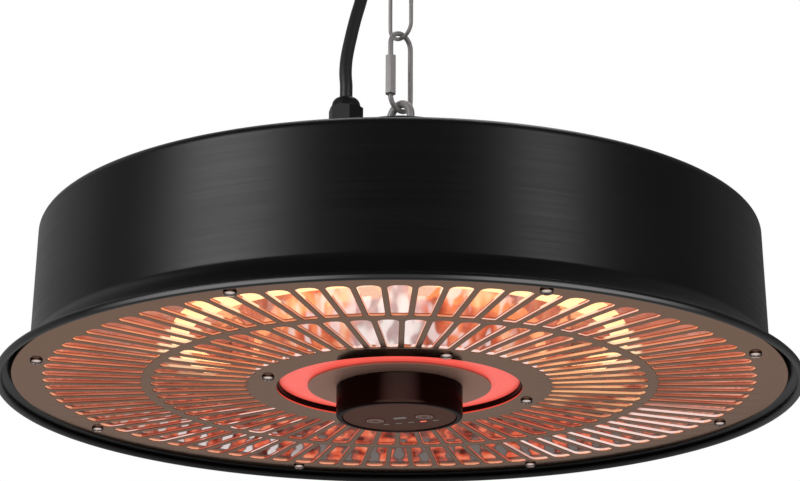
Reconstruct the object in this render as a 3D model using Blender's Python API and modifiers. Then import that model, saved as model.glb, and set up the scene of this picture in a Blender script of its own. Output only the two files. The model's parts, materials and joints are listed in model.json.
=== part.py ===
"""Hanging patio heater: a drum of sheet steel on a chain, with a slotted grille, a ring lamp and a hub.

Metres, +Z up. The origin is the middle of the ceiling plate's upper face. What hangs on the eye bolt is
modelled with its heights counted from the grille's lower face, and then lowered to FACE_Z.
"""

import math

import bmesh
import bpy
import numpy as np
from mathutils import Matrix, Vector

# Fits
GAP = 0.0003  # clearance between pieces that touch
OVERRUN = 0.002  # how far a cutter runs past what it cuts
MERGE = 0.000001  # merge distance of turned shapes
SMOOTH_ANGLE = math.radians(35)

# Ceiling fitting
PLATE_RADIUS = 0.032
PLATE_THICKNESS = 0.0025
PLATE_SCREW_COUNT = 2
PLATE_SCREW_CIRCLE = 0.0235
PLATE_SCREW_RADIUS = 0.0021
PLATE_SCREW_LENGTH = 0.024
PLATE_SCREW_HEAD_RADIUS = 0.0042
PLATE_SCREW_HEAD_HEIGHT = 0.0026
HOOK_WIRE = 0.0046
HOOK_BEND = 0.0085
HOOK_DROP = 0.119  # ceiling to the middle of the hook's lowest wire
HOOK_NECK_SHARES = ((0.0, 2.5), (0.1, 1.95), (0.42, 1.35))  # of the bend: aside, up from its middle
HOOK_ARC_START = 38
HOOK_ARC_END = -218
HOOK_ARC_STEPS = 12

# Chain and quick link, each turned a quarter from its neighbour
QUICK_TURN = math.radians(45)
LINK_TURN = QUICK_TURN - math.pi / 2
LINK_WIRE = 0.0022
LINK_SPAN = 0.0398
LINK_WIDTH = 0.0163
QUICK_WIRE = 0.0028
QUICK_SPAN = 0.0459
QUICK_WIDTH = 0.0154
BEND_STEPS = 7
SLEEVE_LENGTH = 0.0226
SLEEVE_FLATS = 0.0056
SLEEVE_CLEARANCE = 0.0003
GATE_RISE = 0.0012  # sleeve's foot to the gap in the quick link's leg
GATE_GAP = 0.005

# Eye bolt
EYE_WIRE = 0.0044
EYE_RADIUS = 0.0079
EYE_STEPS = 18
EYE_COLLAR_RADIUS = 0.0055
EYE_COLLAR_HEIGHT = 0.0024
EYE_COLLAR_LIP = 0.0004
EYE_SHANK_RADIUS = 0.0025
EYE_SHANK_LENGTH = 0.013
EYE_WASHER_RADIUS = 0.012
EYE_WASHER_THICKNESS = 0.0015
EYE_NUT_FLATS = 0.008
EYE_NUT_HEIGHT = 0.0045

# Drum housing, heights from the grille's lower face
SHEET = 0.001
DRUM_FOOT_RADIUS = 0.195
DRUM_FOOT_HEIGHT = 0.0148
DRUM_TAPER = 0.0016  # the wall's foot to its top, in radius
DRUM_TOP_RADIUS = DRUM_FOOT_RADIUS - DRUM_TAPER
DRUM_HEIGHT = 0.0819
SHOULDER_FILLET = 0.0048
SHOULDER_START = 72  # degrees above level, where the roof meets the fillet
SHOULDER_STEPS = 2
ROOF_FLAT_RADIUS = 0.064
ROOF_RISE = 0.0416
ROOF_FLAT_HEIGHT = DRUM_HEIGHT + ROOF_RISE
NECK_RADIUS = 0.034
NECK_RISE = 0.0193
NECK_HEIGHT = ROOF_FLAT_HEIGHT + NECK_RISE
NECK_FILLET = 0.0015
NECK_STEPS = 1
BRIM_FLARE = 0.0175
BRIM_RADIUS = DRUM_FOOT_RADIUS + BRIM_FLARE
BEAD_RADIUS = 0.0021
BEAD_START = 50
BEAD_END = -215
BEAD_STEPS = 4
FLARE_POWER = 1.6
FLARE_STEPS = 3
DRUM_STEPS = 36

# Ledge ring that the grille is screwed to
LEDGE_INSET = 0.006  # of its upright wall, from the drum's foot
LEDGE_WIDTH = 0.0138
LEDGE_INNER_RADIUS = DRUM_FOOT_RADIUS - LEDGE_INSET
LEDGE_OUTER_RADIUS = LEDGE_INNER_RADIUS + LEDGE_WIDTH
LEDGE_SHEET = 0.0012
LEDGE_HEIGHT = 0.024

# Grille plate
GRILLE_COVER = 0.0012  # past the ledge's edge
GRILLE_RADIUS = LEDGE_OUTER_RADIUS + GRILLE_COVER
GRILLE_THICKNESS = 0.0012
GRILLE_SCREW_INSET = 0.004
GRILLE_SCREW_CIRCLE = LEDGE_INNER_RADIUS + GRILLE_SCREW_INSET
GRILLE_SCREW_TURNS = (22.0, 66.0, 108.2, 152.1, 196.7, 246.0, 290.5, 337.8)
SCREW_RADIUS = 0.0015
SCREW_HEAD_RADIUS = 0.0033
SCREW_HEAD_HEIGHT = 0.0018
SCREW_CROWN_SHARE = 0.62  # of the head's radius
SCREW_LENGTH = 0.0052
SCREW_STEPS = 8

# Light ring's carrier, screwed to the grille round its hole
CARRIER_INNER_RADIUS = 0.0455
CARRIER_WIDTH = 0.0202
CARRIER_OUTER_RADIUS = CARRIER_INNER_RADIUS + CARRIER_WIDTH
CARRIER_COVER = 0.0006
GRILLE_HOLE_RADIUS = CARRIER_OUTER_RADIUS - CARRIER_COVER
CARRIER_SCREW_INSET = 0.0068
HUB_SCREW_CIRCLE = CARRIER_OUTER_RADIUS + CARRIER_SCREW_INSET
HUB_SCREW_TURNS = (19.0, 109.0, 199.0, 289.0)
CARRIER_MARGIN = 0.004  # screws' circle to the flange's edge
CARRIER_FLANGE_RADIUS = HUB_SCREW_CIRCLE + CARRIER_MARGIN
CARRIER_WALL = 0.0017
CARRIER_HEIGHT = 0.0135

# Slots, in the band between the carrier's flange and the ledge
SLOT_MARGIN_INSIDE = 0.0042
SLOT_MARGIN_OUTSIDE = 0.0012
SLOT_RIB = 0.0053  # plain ring between the two rings of slots
INNER_SLOT_SHARE = 0.47339  # of the band
SLAT_WIDTH = 0.003
INNER_SLOT_START = CARRIER_FLANGE_RADIUS + SLOT_MARGIN_INSIDE
OUTER_SLOT_END = LEDGE_INNER_RADIUS - SLOT_MARGIN_OUTSIDE
SLOT_BAND = OUTER_SLOT_END - INNER_SLOT_START
INNER_SLOT_END = INNER_SLOT_START + SLOT_BAND * INNER_SLOT_SHARE
OUTER_SLOT_START = INNER_SLOT_END + SLOT_RIB
OUTER_SLOT_COUNT = 80
OUTER_SLOT_TURN = math.radians(-90)
INNER_SLOT_COUNT = 60
INNER_SLOT_TURN = math.radians(-86.5)
SLOT_ROUND = 0.0036  # length of an outer slot's narrowed end
SLOT_NARROWS_SHARE = 0.5  # width of its outer end's flat, of its whole width
GRILLE_STEPS = 48

# Reflector, lamp and heat shield
REFLECTOR_SHEET = 0.0008
REFLECTOR_HEIGHT = 0.043
REFLECTOR_INNER_SLOPE = 0.0083
REFLECTOR_OUTER_SLOPE = 0.021
REFLECTOR_INNER_FOOT = CARRIER_FLANGE_RADIUS - REFLECTOR_SHEET
REFLECTOR_INNER_TOP = REFLECTOR_INNER_FOOT + REFLECTOR_INNER_SLOPE
REFLECTOR_OUTER_TOP = LEDGE_INNER_RADIUS - REFLECTOR_OUTER_SLOPE
LAMP_SHARE = 0.339  # of the slots' band
LAMP_RADIUS = INNER_SLOT_START + SLOT_BAND * LAMP_SHARE
LAMP_HEIGHT = 0.0265
LAMP_DIAMETER = 0.011
LAMP_WALL = 0.001
LAMP_TURN = math.radians(-91)
LAMP_OPENING = math.radians(9)  # half of the angle between the tube's ends
LAMP_STEPS = 24
FILAMENT_DIAMETER = 0.0022
CAP_LENGTH = 0.010
CAP_WIDTH = 0.015
CAP_DROP = 0.008  # below the tube's axis
CAP_STEP = 0.002
BRIDGE_HEIGHT = 0.009
SUPPORT_PLACES = (8, 16)  # of the tube's steps
SUPPORT_WALL = 0.0012
SUPPORT_THICKNESS = 0.0025
SUPPORT_STEPS = 12
TAB_HALF_SHARE = 0.5  # half the tab's width, of the clip's outer radius
SHIELD_INSET = 0.018
SHIELD_RADIUS = REFLECTOR_OUTER_TOP - SHIELD_INSET
SHIELD_THICKNESS = 0.0012
SHIELD_RISE = 0.009
SHIELD_HEIGHT = REFLECTOR_HEIGHT + SHIELD_RISE
POST_RADIUS = 0.003

# Cross bracket and hub stem
BRACKET_WIDTH = 0.036
BRACKET_SHEET = 0.002
BRACKET_RISE = 0.012
BRACKET_HEIGHT = SHIELD_HEIGHT + BRACKET_RISE
BRACKET_SEAT = 0.0014  # how far its feet reach over the ledge's wall
BRACKET_REACH = LEDGE_INNER_RADIUS + BRACKET_SEAT
BRACKET_POST_PLACE = 0.115
STEM_RADIUS = 0.006
STEM_BORE = 0.0045
STEM_RISE = 0.0055
STEM_TOP = BRACKET_HEIGHT + BRACKET_SHEET + STEM_RISE
STEM_NUT_FLATS = 0.016
STEM_NUT_HEIGHT = 0.004
STEM_FLANGE_RADIUS = 0.0082
STEM_FLANGE_HEIGHT = 0.0014

# Light ring in the grille's hole
RING_FACE = 0.0036  # height of the diffuser's edges
RING_CROWN = 0.0009
RING_THICKNESS = 0.0030
LED_BOARD_THICKNESS = 0.0012
LED_COUNT = 12
LED_SIZE = 0.0035
LED_HEIGHT = 0.0012

# Control hub, hanging below the grille
DISC_COVER = 0.0032
DISC_RADIUS = CARRIER_INNER_RADIUS + DISC_COVER
DISC_HEIGHT = 0.0008
DISC_THICKNESS = 0.0012
HUB_RADIUS = 0.0335
HUB_DROP = 0.016
HUB_WALL = 0.002
HUB_FILLET = 0.0016
HUB_FILLET_STEPS = 2
CUP_STEPS = 28
NUT_STEPS = 16
HUB_STEPS = 28
PANEL_RIM = 0.0035
PANEL_RADIUS = HUB_RADIUS - PANEL_RIM
PANEL_INSET = 0.0006
PANEL_THICKNESS = 0.0019
PANEL_LIP = 0.001
PANEL_TURN = math.radians(-20)
KEY_RADIUS = 0.0049
KEY_PLACES = ((-0.0146, 0.0026), (0.0130, 0.0026))
KEY_PROUD = 0.0004
KEY_FLANGE = 0.0010
KEY_FLANGE_HEIGHT = 0.0007
KEY_TRAVEL = 0.0006
WINDOW_PLACE = (-0.0006, 0.0022)
WINDOW_SIZE = (0.0072, 0.0034)
LIGHT_COUNT = 5
LIGHT_PITCH = 0.00695
LIGHT_PLACE = (0.0018, 0.0131)
LIGHT_SIZE = (0.0034, 0.0015)
LENS_BAR_WIDTH = 0.0042
LENS_BAR_HEIGHT = 0.0012
BOARD_DEPTH = 0.0064  # control board's lower face below the grille's
BOARD_ROOM = 0.0045  # hub's outside to the board's edge
BOARD_RADIUS = HUB_RADIUS - BOARD_ROOM
BOARD_THICKNESS = 0.0016
BOARD_HOLE = 0.002
BOARD_POST_INSET = 0.005
BOARD_POST_CIRCLE = BOARD_RADIUS - BOARD_POST_INSET
BOARD_POST_RADIUS = 0.0022
BOARD_POST_TURNS = (60.0, 195.0, 300.0)
SWITCH_SIZE = (0.006, 0.006, 0.0034)
PLUNGER_RADIUS = 0.0017
RECEIVER_SIZE = (0.006, 0.004, 0.0045)

# Electrics on the heat shield
POWER_BOARD_SIZE = (0.080, 0.050, 0.0016)
POWER_BOARD_PLACE = 0.072
POWER_BOARD_RISE = 0.009
POWER_BOARD_INSET = 0.006
RELAY_SIZE = (0.013, 0.029, 0.0156)
TRANSFORMER_SIZE = (0.023, 0.019, 0.017)
POWER_PIECES = (
    (RELAY_SIZE, (-0.026, 0.0)),
    (RELAY_SIZE, (-0.008, 0.0)),
    (TRANSFORMER_SIZE, (0.020, 0.004)),
)
CARRIER_BASE = 0.0018
TERMINAL_SIZE = (0.030, 0.018, 0.016)
CUTOUT_RADIUS = 0.0085
CUTOUT_HEIGHT = 0.009
CUTOUT_PLACE = (0.058, -0.058)

# Cable gland
GLAND_PLACE = (-0.029, -0.040)
GLAND_FLATS = 0.0168
GLAND_TURN = math.radians(12)
GLAND_SEAL = 0.0015
GLAND_SEAL_RADIUS = 0.0105
GLAND_BODY_HEIGHT = 0.0054
GLAND_NUT_HEIGHT = 0.0124
GLAND_DOME_HEIGHT = 0.0052
GLAND_DOME_RADIUS = 0.0080
GLAND_DOME_SHARES = (0.9, 0.62)  # its shoulder's radius and height
GLAND_MOUTH = 0.0037
GLAND_SLEEVE_RADIUS = 0.0060
GLAND_SLEEVE_HEIGHT = 0.0046
GLAND_WALL = 0.0016
GLAND_SHANK_RADIUS = 0.0066
GLAND_SHANK_LENGTH = 0.010
LOCKNUT_FLATS = 0.017
LOCKNUT_HEIGHT = 0.004

# Mains lead: the free stretch's points are counted from the gland's mouth
CORD = 0.0068
CORD_ROUTE = (
    (0.0000, 0.0000, 0.0076),
    (-0.0005, 0.0012, 0.0156),
    (0.0000, 0.0038, 0.0256),
    (0.0020, 0.0075, 0.0386),
    (0.0044, 0.0117, 0.0516),
    (0.0069, 0.0160, 0.0632),
    (0.0098, 0.0204, 0.0776),
    (0.0130, 0.0245, 0.0941),
    (0.0162, 0.0276, 0.1131),
)
CORD_STEP = 0.0145
ROUTE_STEPS = 24  # curve's steps between two points
COIL_TURNS = 6.25
COIL_LAYERS = 4
COIL_RADIUS = 0.046
COIL_PITCH = 0.0073
COIL_DROP = 0.056  # ceiling to the coil's middle
COIL_START = math.radians(-15)
COIL_STEPS = 24
CLIMB_TURNS = 0.5
SHANK_CLEARANCE = 0.0006
TAIL_ROUTE = (
    (-0.0602, 0.0135, -0.0096),
    (-0.0735, 0.0182, -0.0145),
    (-0.0815, 0.0225, -0.0255),
    (-0.0852, 0.0258, -0.0430),
)
PLUG_PLACE = (-0.0852, 0.0258, -0.0500)
PLUG_RELIEF = 0.014
PLUG_RELIEF_RADIUS = 0.0046
PLUG_RELIEF_TAPER = 0.0008
PLUG_BODY = (0.034, 0.0215, 0.024)
PLUG_TAPER_SHARE = 0.62
PIN_RADIUS = 0.0024
PIN_LENGTH = 0.019
PIN_SPREAD = 0.019
PIN_PLATE_WIDTH = 0.007
PIN_PLATE_HEIGHT = 0.0016
PIN_PLATE_STEP = 0.0004
TIE_WIDTH = 0.012
TIE_THICKNESS = 0.0012
TIE_HEAD = 0.005
TIE_HALF_TURN = 50  # degrees round the hook's shank
TIE_STEPS = 4
INNER_LEAD_STEPS = 4

# Heights that follow from the chain, in the object's own frame
HOOK_WIRE_Z = -HOOK_DROP
LINK_TOP_Z = HOOK_WIRE_Z + HOOK_WIRE / 2 + GAP + LINK_WIRE / 2
LINK_BOTTOM_Z = LINK_TOP_Z - LINK_SPAN
QUICK_TOP_Z = LINK_BOTTOM_Z + LINK_WIRE / 2 + GAP + QUICK_WIRE / 2
QUICK_BOTTOM_Z = QUICK_TOP_Z - QUICK_SPAN
EYE_Z = QUICK_BOTTOM_Z + QUICK_WIRE / 2 + GAP + EYE_WIRE / 2 - EYE_RADIUS
EYE_FOOT_Z = EYE_Z - EYE_RADIUS - EYE_WIRE / 2 - EYE_COLLAR_LIP
FACE_Z = EYE_FOOT_Z - GAP - NECK_HEIGHT

# Places that several pieces share
GRILLE_TOP = GRILLE_THICKNESS + GAP
ROOF_UNDERSIDE = ROOF_FLAT_HEIGHT - SHEET
GLAND_FOOT = ROOF_FLAT_HEIGHT + GAP + GLAND_SEAL + GAP
GLAND_NUT_FOOT = GLAND_FOOT + GLAND_BODY_HEIGHT + GAP
GLAND_TOP = GLAND_NUT_FOOT + GLAND_NUT_HEIGHT + GLAND_DOME_HEIGHT
GLAND_SHANK_FOOT = GLAND_FOOT - GLAND_SHANK_LENGTH - GLAND_SEAL
SHIELD_TOP = SHIELD_HEIGHT + SHIELD_THICKNESS
BRACKET_TOP = BRACKET_HEIGHT + BRACKET_SHEET
COIL_X = -(HOOK_WIRE / 2 + SHANK_CLEARANCE + CORD / 2 + COIL_RADIUS)
LAYER_TURNS = COIL_TURNS / COIL_LAYERS
COIL_HALF_DEPTH = COIL_PITCH * (COIL_LAYERS - 1) / 2
PANEL_FACE = -HUB_DROP + PANEL_INSET
PANEL_BACK = PANEL_FACE + PANEL_THICKNESS + PANEL_LIP
CARRIER_HOLE = CARRIER_OUTER_RADIUS - CARRIER_WALL
LED_CIRCLE = (CARRIER_INNER_RADIUS + CARRIER_OUTER_RADIUS) / 2

for leftover in list(bpy.data.objects):
    bpy.data.objects.remove(leftover, do_unlink=True)


def collection(name):
    """A new collection in the scene."""
    made = bpy.data.collections.new(name)
    bpy.context.scene.collection.children.link(made)
    return made


PARTS = collection("hanging_patio_heater")
CUTTERS = collection("cutters")


def finish(name, colour, roughness, metallic, glow=None):
    """A Principled material with one colour, and a glow where the piece is lit."""
    made = bpy.data.materials.new(name)
    made.use_nodes = True
    shader = made.node_tree.nodes["Principled BSDF"]
    shader.inputs["Base Color"].default_value = (*colour, 1.0)
    shader.inputs["Roughness"].default_value = roughness
    shader.inputs["Metallic"].default_value = metallic
    if glow is not None:
        shader.inputs["Emission Color"].default_value = (*glow, 1.0)
        shader.inputs["Emission Strength"].default_value = 1.0
    made.diffuse_color = (*colour, 1.0)
    return made


BLACK_PAINT = finish("black_paint", (0.012, 0.012, 0.013), 0.5, 0.0)
COPPER_MIRROR = finish("copper_mirror", (0.42, 0.31, 0.26), 0.12, 1.0)
BRIGHT_STEEL = finish("bright_steel", (0.55, 0.54, 0.53), 0.25, 1.0)
GREY_STEEL = finish("galvanised_steel", (0.42, 0.42, 0.42), 0.4, 1.0)
POLISHED = finish("polished_aluminium", (0.85, 0.84, 0.83), 0.12, 1.0)
QUARTZ = finish("quartz", (1.0, 0.75, 0.45), 0.1, 0.0, (1.0, 0.45, 0.12))
HOT_WIRE = finish("hot_wire", (1.0, 0.6, 0.25), 0.4, 0.0, (1.0, 0.55, 0.15))
CERAMIC = finish("ceramic", (0.82, 0.79, 0.74), 0.6, 0.0)
RED_DIFFUSER = finish("red_diffuser", (0.95, 0.16, 0.13), 0.3, 0.0, (0.95, 0.10, 0.08))
BLACK_GLOSS = finish("black_gloss", (0.015, 0.010, 0.009), 0.2, 0.0)
PANEL_BROWN = finish("panel_brown", (0.045, 0.030, 0.026), 0.3, 0.0)
DARK_LENS = finish("dark_lens", (0.12, 0.08, 0.08), 0.2, 0.0)
BLACK_PLASTIC = finish("black_plastic", (0.02, 0.02, 0.02), 0.45, 0.0)
BLACK_RUBBER = finish("black_rubber", (0.018, 0.018, 0.018), 0.6, 0.0)
BOARD_GREEN = finish("circuit_board", (0.02, 0.16, 0.07), 0.5, 0.0)
WHITE_PLASTIC = finish("white_plastic", (0.8, 0.8, 0.78), 0.5, 0.0)


def add(name, data, material, home=PARTS):
    """An object of the given mesh or curve in a collection."""
    made = bpy.data.objects.new(name, data)
    home.objects.link(made)
    if material is not None:
        data.materials.append(material)
    return made


def smooth(mesh):
    """Shade a mesh smooth and keep its edges sharp."""
    mesh.shade_smooth()
    mesh.set_sharp_from_angle(angle=SMOOTH_ANGLE)


def evaluated(made):
    """The object's mesh with its modifiers applied, and the object removed."""
    bpy.context.view_layer.update()
    graph = bpy.context.evaluated_depsgraph_get()
    mesh = bpy.data.meshes.new_from_object(made.evaluated_get(graph))
    mesh.transform(made.matrix_world)
    bpy.data.objects.remove(made, do_unlink=True)
    return mesh


def clockwise(outline):
    """The points of a closed outline in radius and height, with its outer side running down."""
    pairs = zip(outline, outline[1:] + outline[:1])
    area = sum(a[0] * b[1] - b[0] * a[1] for a, b in pairs)
    return outline if area < 0 else outline[::-1]


def turned(name, outline, steps, material, closed=True, home=PARTS):
    """A shape turned about Z from an outline in radius and height."""
    points = clockwise(outline) if closed else outline
    count = len(points)
    mesh = bpy.data.meshes.new(name)
    edges = [(i, i + 1) for i in range(count - 1)]
    if closed and min(radius for radius, _ in points) > 0:
        edges.append((count - 1, 0))
    mesh.from_pydata([(radius, 0.0, height) for radius, height in points], edges, [])
    made = add(name, mesh, material, home)
    screw = made.modifiers.new("turn", "SCREW")
    screw.angle = 2 * math.pi
    screw.steps = steps
    screw.render_steps = steps
    screw.use_merge_vertices = True
    screw.merge_threshold = MERGE
    screw.use_smooth_shade = True
    return made


def solid_turned(name, outline, steps, material, home=PARTS):
    """A turned shape whose outline starts and ends on the axis, from top to bottom."""
    return turned(name, outline, steps, material, closed=False, home=home)


def ring(name, inner, outer, low, high, steps, material, home=PARTS):
    """A flat ring between two radii and two heights."""
    section = [(inner, high), (outer, high), (outer, low), (inner, low)]
    return turned(name, section, steps, material, home=home)


def rod_outline(radius, low, high):
    """A plain rod's outline from the axis at its top to the axis at its bottom."""
    return [(0.0, high), (radius, high), (radius, low), (0.0, low)]


def prism(name, flats, low, high, turn, material, home=PARTS):
    """A hexagonal bar between two heights."""
    mesh = bpy.data.meshes.new(name)
    shape = bmesh.new()
    corner = flats / 2 / math.cos(math.pi / 6)
    tall = high - low
    bmesh.ops.create_cone(shape, cap_ends=True, segments=6, radius1=corner, radius2=corner, depth=tall)
    bmesh.ops.rotate(shape, cent=(0, 0, 0), matrix=Matrix.Rotation(turn, 3, "Z"), verts=shape.verts)
    bmesh.ops.translate(shape, vec=(0, 0, (low + high) / 2), verts=shape.verts)
    shape.to_mesh(mesh)
    shape.free()
    return add(name, mesh, material, home)


def block(name, size, middle, material, turn=0.0, home=PARTS):
    """A box of the given size around a point, turned about Z through its own middle."""
    mesh = bpy.data.meshes.new(name)
    shape = bmesh.new()
    bmesh.ops.create_cube(shape, size=1)
    bmesh.ops.scale(shape, vec=size, verts=shape.verts)
    bmesh.ops.rotate(shape, cent=(0, 0, 0), matrix=Matrix.Rotation(turn, 3, "Z"), verts=shape.verts)
    bmesh.ops.translate(shape, vec=middle, verts=shape.verts)
    shape.to_mesh(mesh)
    shape.free()
    return add(name, mesh, material, home)


def flat(name, outlines, low, high, material, home=PARTS):
    """A flat piece between two heights: the first outline is its edge, the others are its holes."""
    curve = bpy.data.curves.new(name, "CURVE")
    curve.dimensions = "2D"
    curve.fill_mode = "BOTH"
    curve.extrude = (high - low) / 2
    for outline in outlines:
        spline = curve.splines.new("POLY")
        spline.points.add(len(outline) - 1)
        for point, (x, y) in zip(spline.points, outline):
            point.co = (x, y, 0.0, 1.0)
        spline.use_cyclic_u = True
    made = add(name, curve, material, home)
    made.location.z = (low + high) / 2
    return made


def tube(name, points, diameter, material, sides=2, closed=False, home=PARTS):
    """A round wire or cord along points."""
    curve = bpy.data.curves.new(name, "CURVE")
    curve.dimensions = "3D"
    curve.bevel_depth = diameter / 2
    curve.bevel_resolution = sides
    curve.use_fill_caps = not closed
    spline = curve.splines.new("POLY")
    spline.points.add(len(points) - 1)
    for target, point in zip(spline.points, points):
        target.co = (*point, 1.0)
    spline.use_cyclic_u = closed
    spline.use_smooth = True
    return add(name, curve, material, home)


def meshed(made, material):
    """A curve object made a mesh under its own name, with its caps welded."""
    name = made.name
    mesh = evaluated(made)
    shape = bmesh.new()
    shape.from_mesh(mesh)
    bmesh.ops.remove_doubles(shape, verts=shape.verts, dist=MERGE)
    shape.to_mesh(mesh)
    shape.free()
    mesh.materials.clear()
    return add(name, mesh, material)


def group(name, pieces, material, home=PARTS):
    """One mesh of several separate solids, for joining to a piece or cutting it."""
    shape = bmesh.new()
    for piece in pieces:
        mesh = evaluated(piece)
        shape.from_mesh(mesh)
        bpy.data.meshes.remove(mesh)
    bmesh.ops.remove_doubles(shape, verts=shape.verts, dist=MERGE)
    mesh = bpy.data.meshes.new(name)
    shape.to_mesh(mesh)
    shape.free()
    return add(name, mesh, material, home)


def combine(made, other, operation):
    """Join another shape to a piece, or cut it away."""
    CUTTERS.objects.link(other)
    PARTS.objects.unlink(other)
    other.hide_render = True
    other.display_type = "WIRE"
    modifier = made.modifiers.new(other.name, "BOOLEAN")
    modifier.operation = operation
    modifier.solver = "EXACT"
    modifier.object = other


def cut(made, *cutters):
    """Cut shapes away from a piece."""
    for cutter in cutters:
        combine(made, cutter, "DIFFERENCE")
    return made


def join(made, *others):
    """Make one body of overlapping shapes."""
    for other in others:
        combine(made, other, "UNION")
    return made


def circle(radius, steps, middle=(0.0, 0.0)):
    """Points round a circle."""
    angles = [2 * math.pi * i / steps for i in range(steps)]
    return [(middle[0] + radius * math.cos(a), middle[1] + radius * math.sin(a)) for a in angles]


def at_turn(radius, degrees):
    """A place on a circle at an angle in degrees."""
    angle = math.radians(degrees)
    return radius * math.cos(angle), radius * math.sin(angle)


def moved(made, x, y, z=0.0):
    """Shift an object."""
    made.location = made.location + Vector((x, y, z))
    return made


def smooth_route(points, step):
    """Points a step apart on a smooth curve through a route whose first and last legs are straight."""
    knots = [Vector(point) for point in points]
    dense = []
    for a, b, c, d in zip(knots, knots[1:], knots[2:], knots[3:]):
        for i in range(ROUTE_STEPS):
            t = i / ROUTE_STEPS
            bend = (2 * a - 5 * b + 4 * c - d) * t**2 + (3 * b - a - 3 * c + d) * t**3
            dense.append(b + ((c - a) * t + bend) / 2)
    dense.append(knots[-2])
    path = np.array([tuple(point) for point in dense])
    lengths = np.concatenate([[0.0], np.cumsum(np.linalg.norm(np.diff(path, axis=0), axis=1))])
    wanted = np.linspace(0.0, lengths[-1], max(2, round(lengths[-1] / step) + 1))
    middle = [tuple(np.interp(w, lengths, path[:, k]) for k in range(3)) for w in wanted]
    return [tuple(points[0]), *middle, tuple(points[-1])]


def upright(points, turn):
    """Points given aside and up, in an upright plane turned about Z."""
    return [(aside * math.cos(turn), aside * math.sin(turn), height) for aside, height in points]


def arc(middle, radius, start, end, steps):
    """Points along an arc in a plane, its angles in degrees."""
    angles = [math.radians(start + (end - start) * i / steps) for i in range(steps + 1)]
    return [(middle[0] + radius * math.cos(a), middle[1] + radius * math.sin(a)) for a in angles]


def loop_path(top, bottom, width):
    """A long link's middle line, aside and up: two half circles and two legs."""
    half = width / 2
    over = arc((0.0, top - half), half, 180, 0, BEND_STEPS)
    under = arc((0.0, bottom + half), half, 0, -180, BEND_STEPS)
    return over + under


def wall_radius(height):
    """The drum wall's outer radius at a height above its foot."""
    share = (height - DRUM_FOOT_HEIGHT) / (DRUM_HEIGHT - SHOULDER_FILLET - DRUM_FOOT_HEIGHT)
    return DRUM_FOOT_RADIUS + (DRUM_TOP_RADIUS - DRUM_FOOT_RADIUS) * share


def screw_outline(head_radius, head_height, radius, length):
    """A pan-headed screw's outline, its shank up and its head's seat at height zero."""
    return [
        (0.0, length),
        (radius, length),
        (radius, 0.0),
        (head_radius, 0.0),
        (head_radius, -head_height / 2),
        (head_radius * SCREW_CROWN_SHARE, -head_height),
        (0.0, -head_height),
    ]


def screws(name, outline, places, seat, material):
    """Screws of one outline, each its own node, with their heads below a height."""
    return [
        moved(solid_turned(f"{name}_{i + 1}", outline, SCREW_STEPS, material), *place, seat)
        for i, place in enumerate(places)
    ]


def ceiling_fitting():
    """The hook that the chain hangs on, its plate and the plate's screws."""
    turns = [360 * i / PLATE_SCREW_COUNT + 90 for i in range(PLATE_SCREW_COUNT)]
    places = [at_turn(PLATE_SCREW_CIRCLE, turn) for turn in turns]
    outlines = [circle(PLATE_RADIUS, HUB_STEPS)]
    outlines += [circle(PLATE_SCREW_RADIUS + GAP, SCREW_STEPS, place) for place in places]
    plate = flat("ceiling_plate", outlines, -PLATE_THICKNESS, 0.0, GREY_STEEL)
    middle_z = HOOK_WIRE_Z + HOOK_BEND
    neck = [(aside * HOOK_BEND, middle_z + up * HOOK_BEND) for aside, up in HOOK_NECK_SHARES]
    bend = arc((0.0, middle_z), HOOK_BEND, HOOK_ARC_START, HOOK_ARC_END, HOOK_ARC_STEPS)
    path = [(0.0, -PLATE_THICKNESS - GAP), *neck, *bend]
    hook = tube("ceiling_hook", upright(path, QUICK_TURN), HOOK_WIRE, GREY_STEEL)
    outline = screw_outline(
        PLATE_SCREW_HEAD_RADIUS, PLATE_SCREW_HEAD_HEIGHT, PLATE_SCREW_RADIUS, PLATE_SCREW_LENGTH
    )
    return [plate, hook, *screws("ceiling_screw", outline, places, -PLATE_THICKNESS - GAP, GREY_STEEL)]


def chain():
    """The chain link and the quick link with its sleeve."""
    link = tube(
        "chain_link",
        upright(loop_path(LINK_TOP_Z, LINK_BOTTOM_Z, LINK_WIDTH), LINK_TURN),
        LINK_WIRE,
        BRIGHT_STEEL,
        closed=True,
    )
    around = loop_path(QUICK_TOP_Z, QUICK_BOTTOM_Z, QUICK_WIDTH)
    sleeve_foot = QUICK_BOTTOM_Z + QUICK_WIDTH / 2 + GAP
    gate_foot = sleeve_foot + GATE_RISE
    leg = -QUICK_WIDTH / 2
    path = [(leg, gate_foot + GATE_GAP), *around, (leg, gate_foot)]
    quick = tube("quick_link", upright(path, QUICK_TURN), QUICK_WIRE, BRIGHT_STEEL)
    bore = rod_outline(QUICK_WIRE / 2 + SLEEVE_CLEARANCE, -OVERRUN, SLEEVE_LENGTH + OVERRUN)
    sleeve = prism("quick_link_sleeve", SLEEVE_FLATS, 0.0, SLEEVE_LENGTH, 0.0, BRIGHT_STEEL)
    cut(sleeve, solid_turned("sleeve_bore", bore, SCREW_STEPS, None))
    x, y, _ = upright([(leg, 0.0)], QUICK_TURN)[0]
    return link, quick, moved_with_cutters(sleeve, x, y, sleeve_foot)


def moved_with_cutters(made, x, y, z):
    """Shift an object and the shapes that cut it or join it."""
    for modifier in made.modifiers:
        if modifier.type == "BOOLEAN":
            moved(modifier.object, x, y, z)
    return moved(made, x, y, z)


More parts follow.
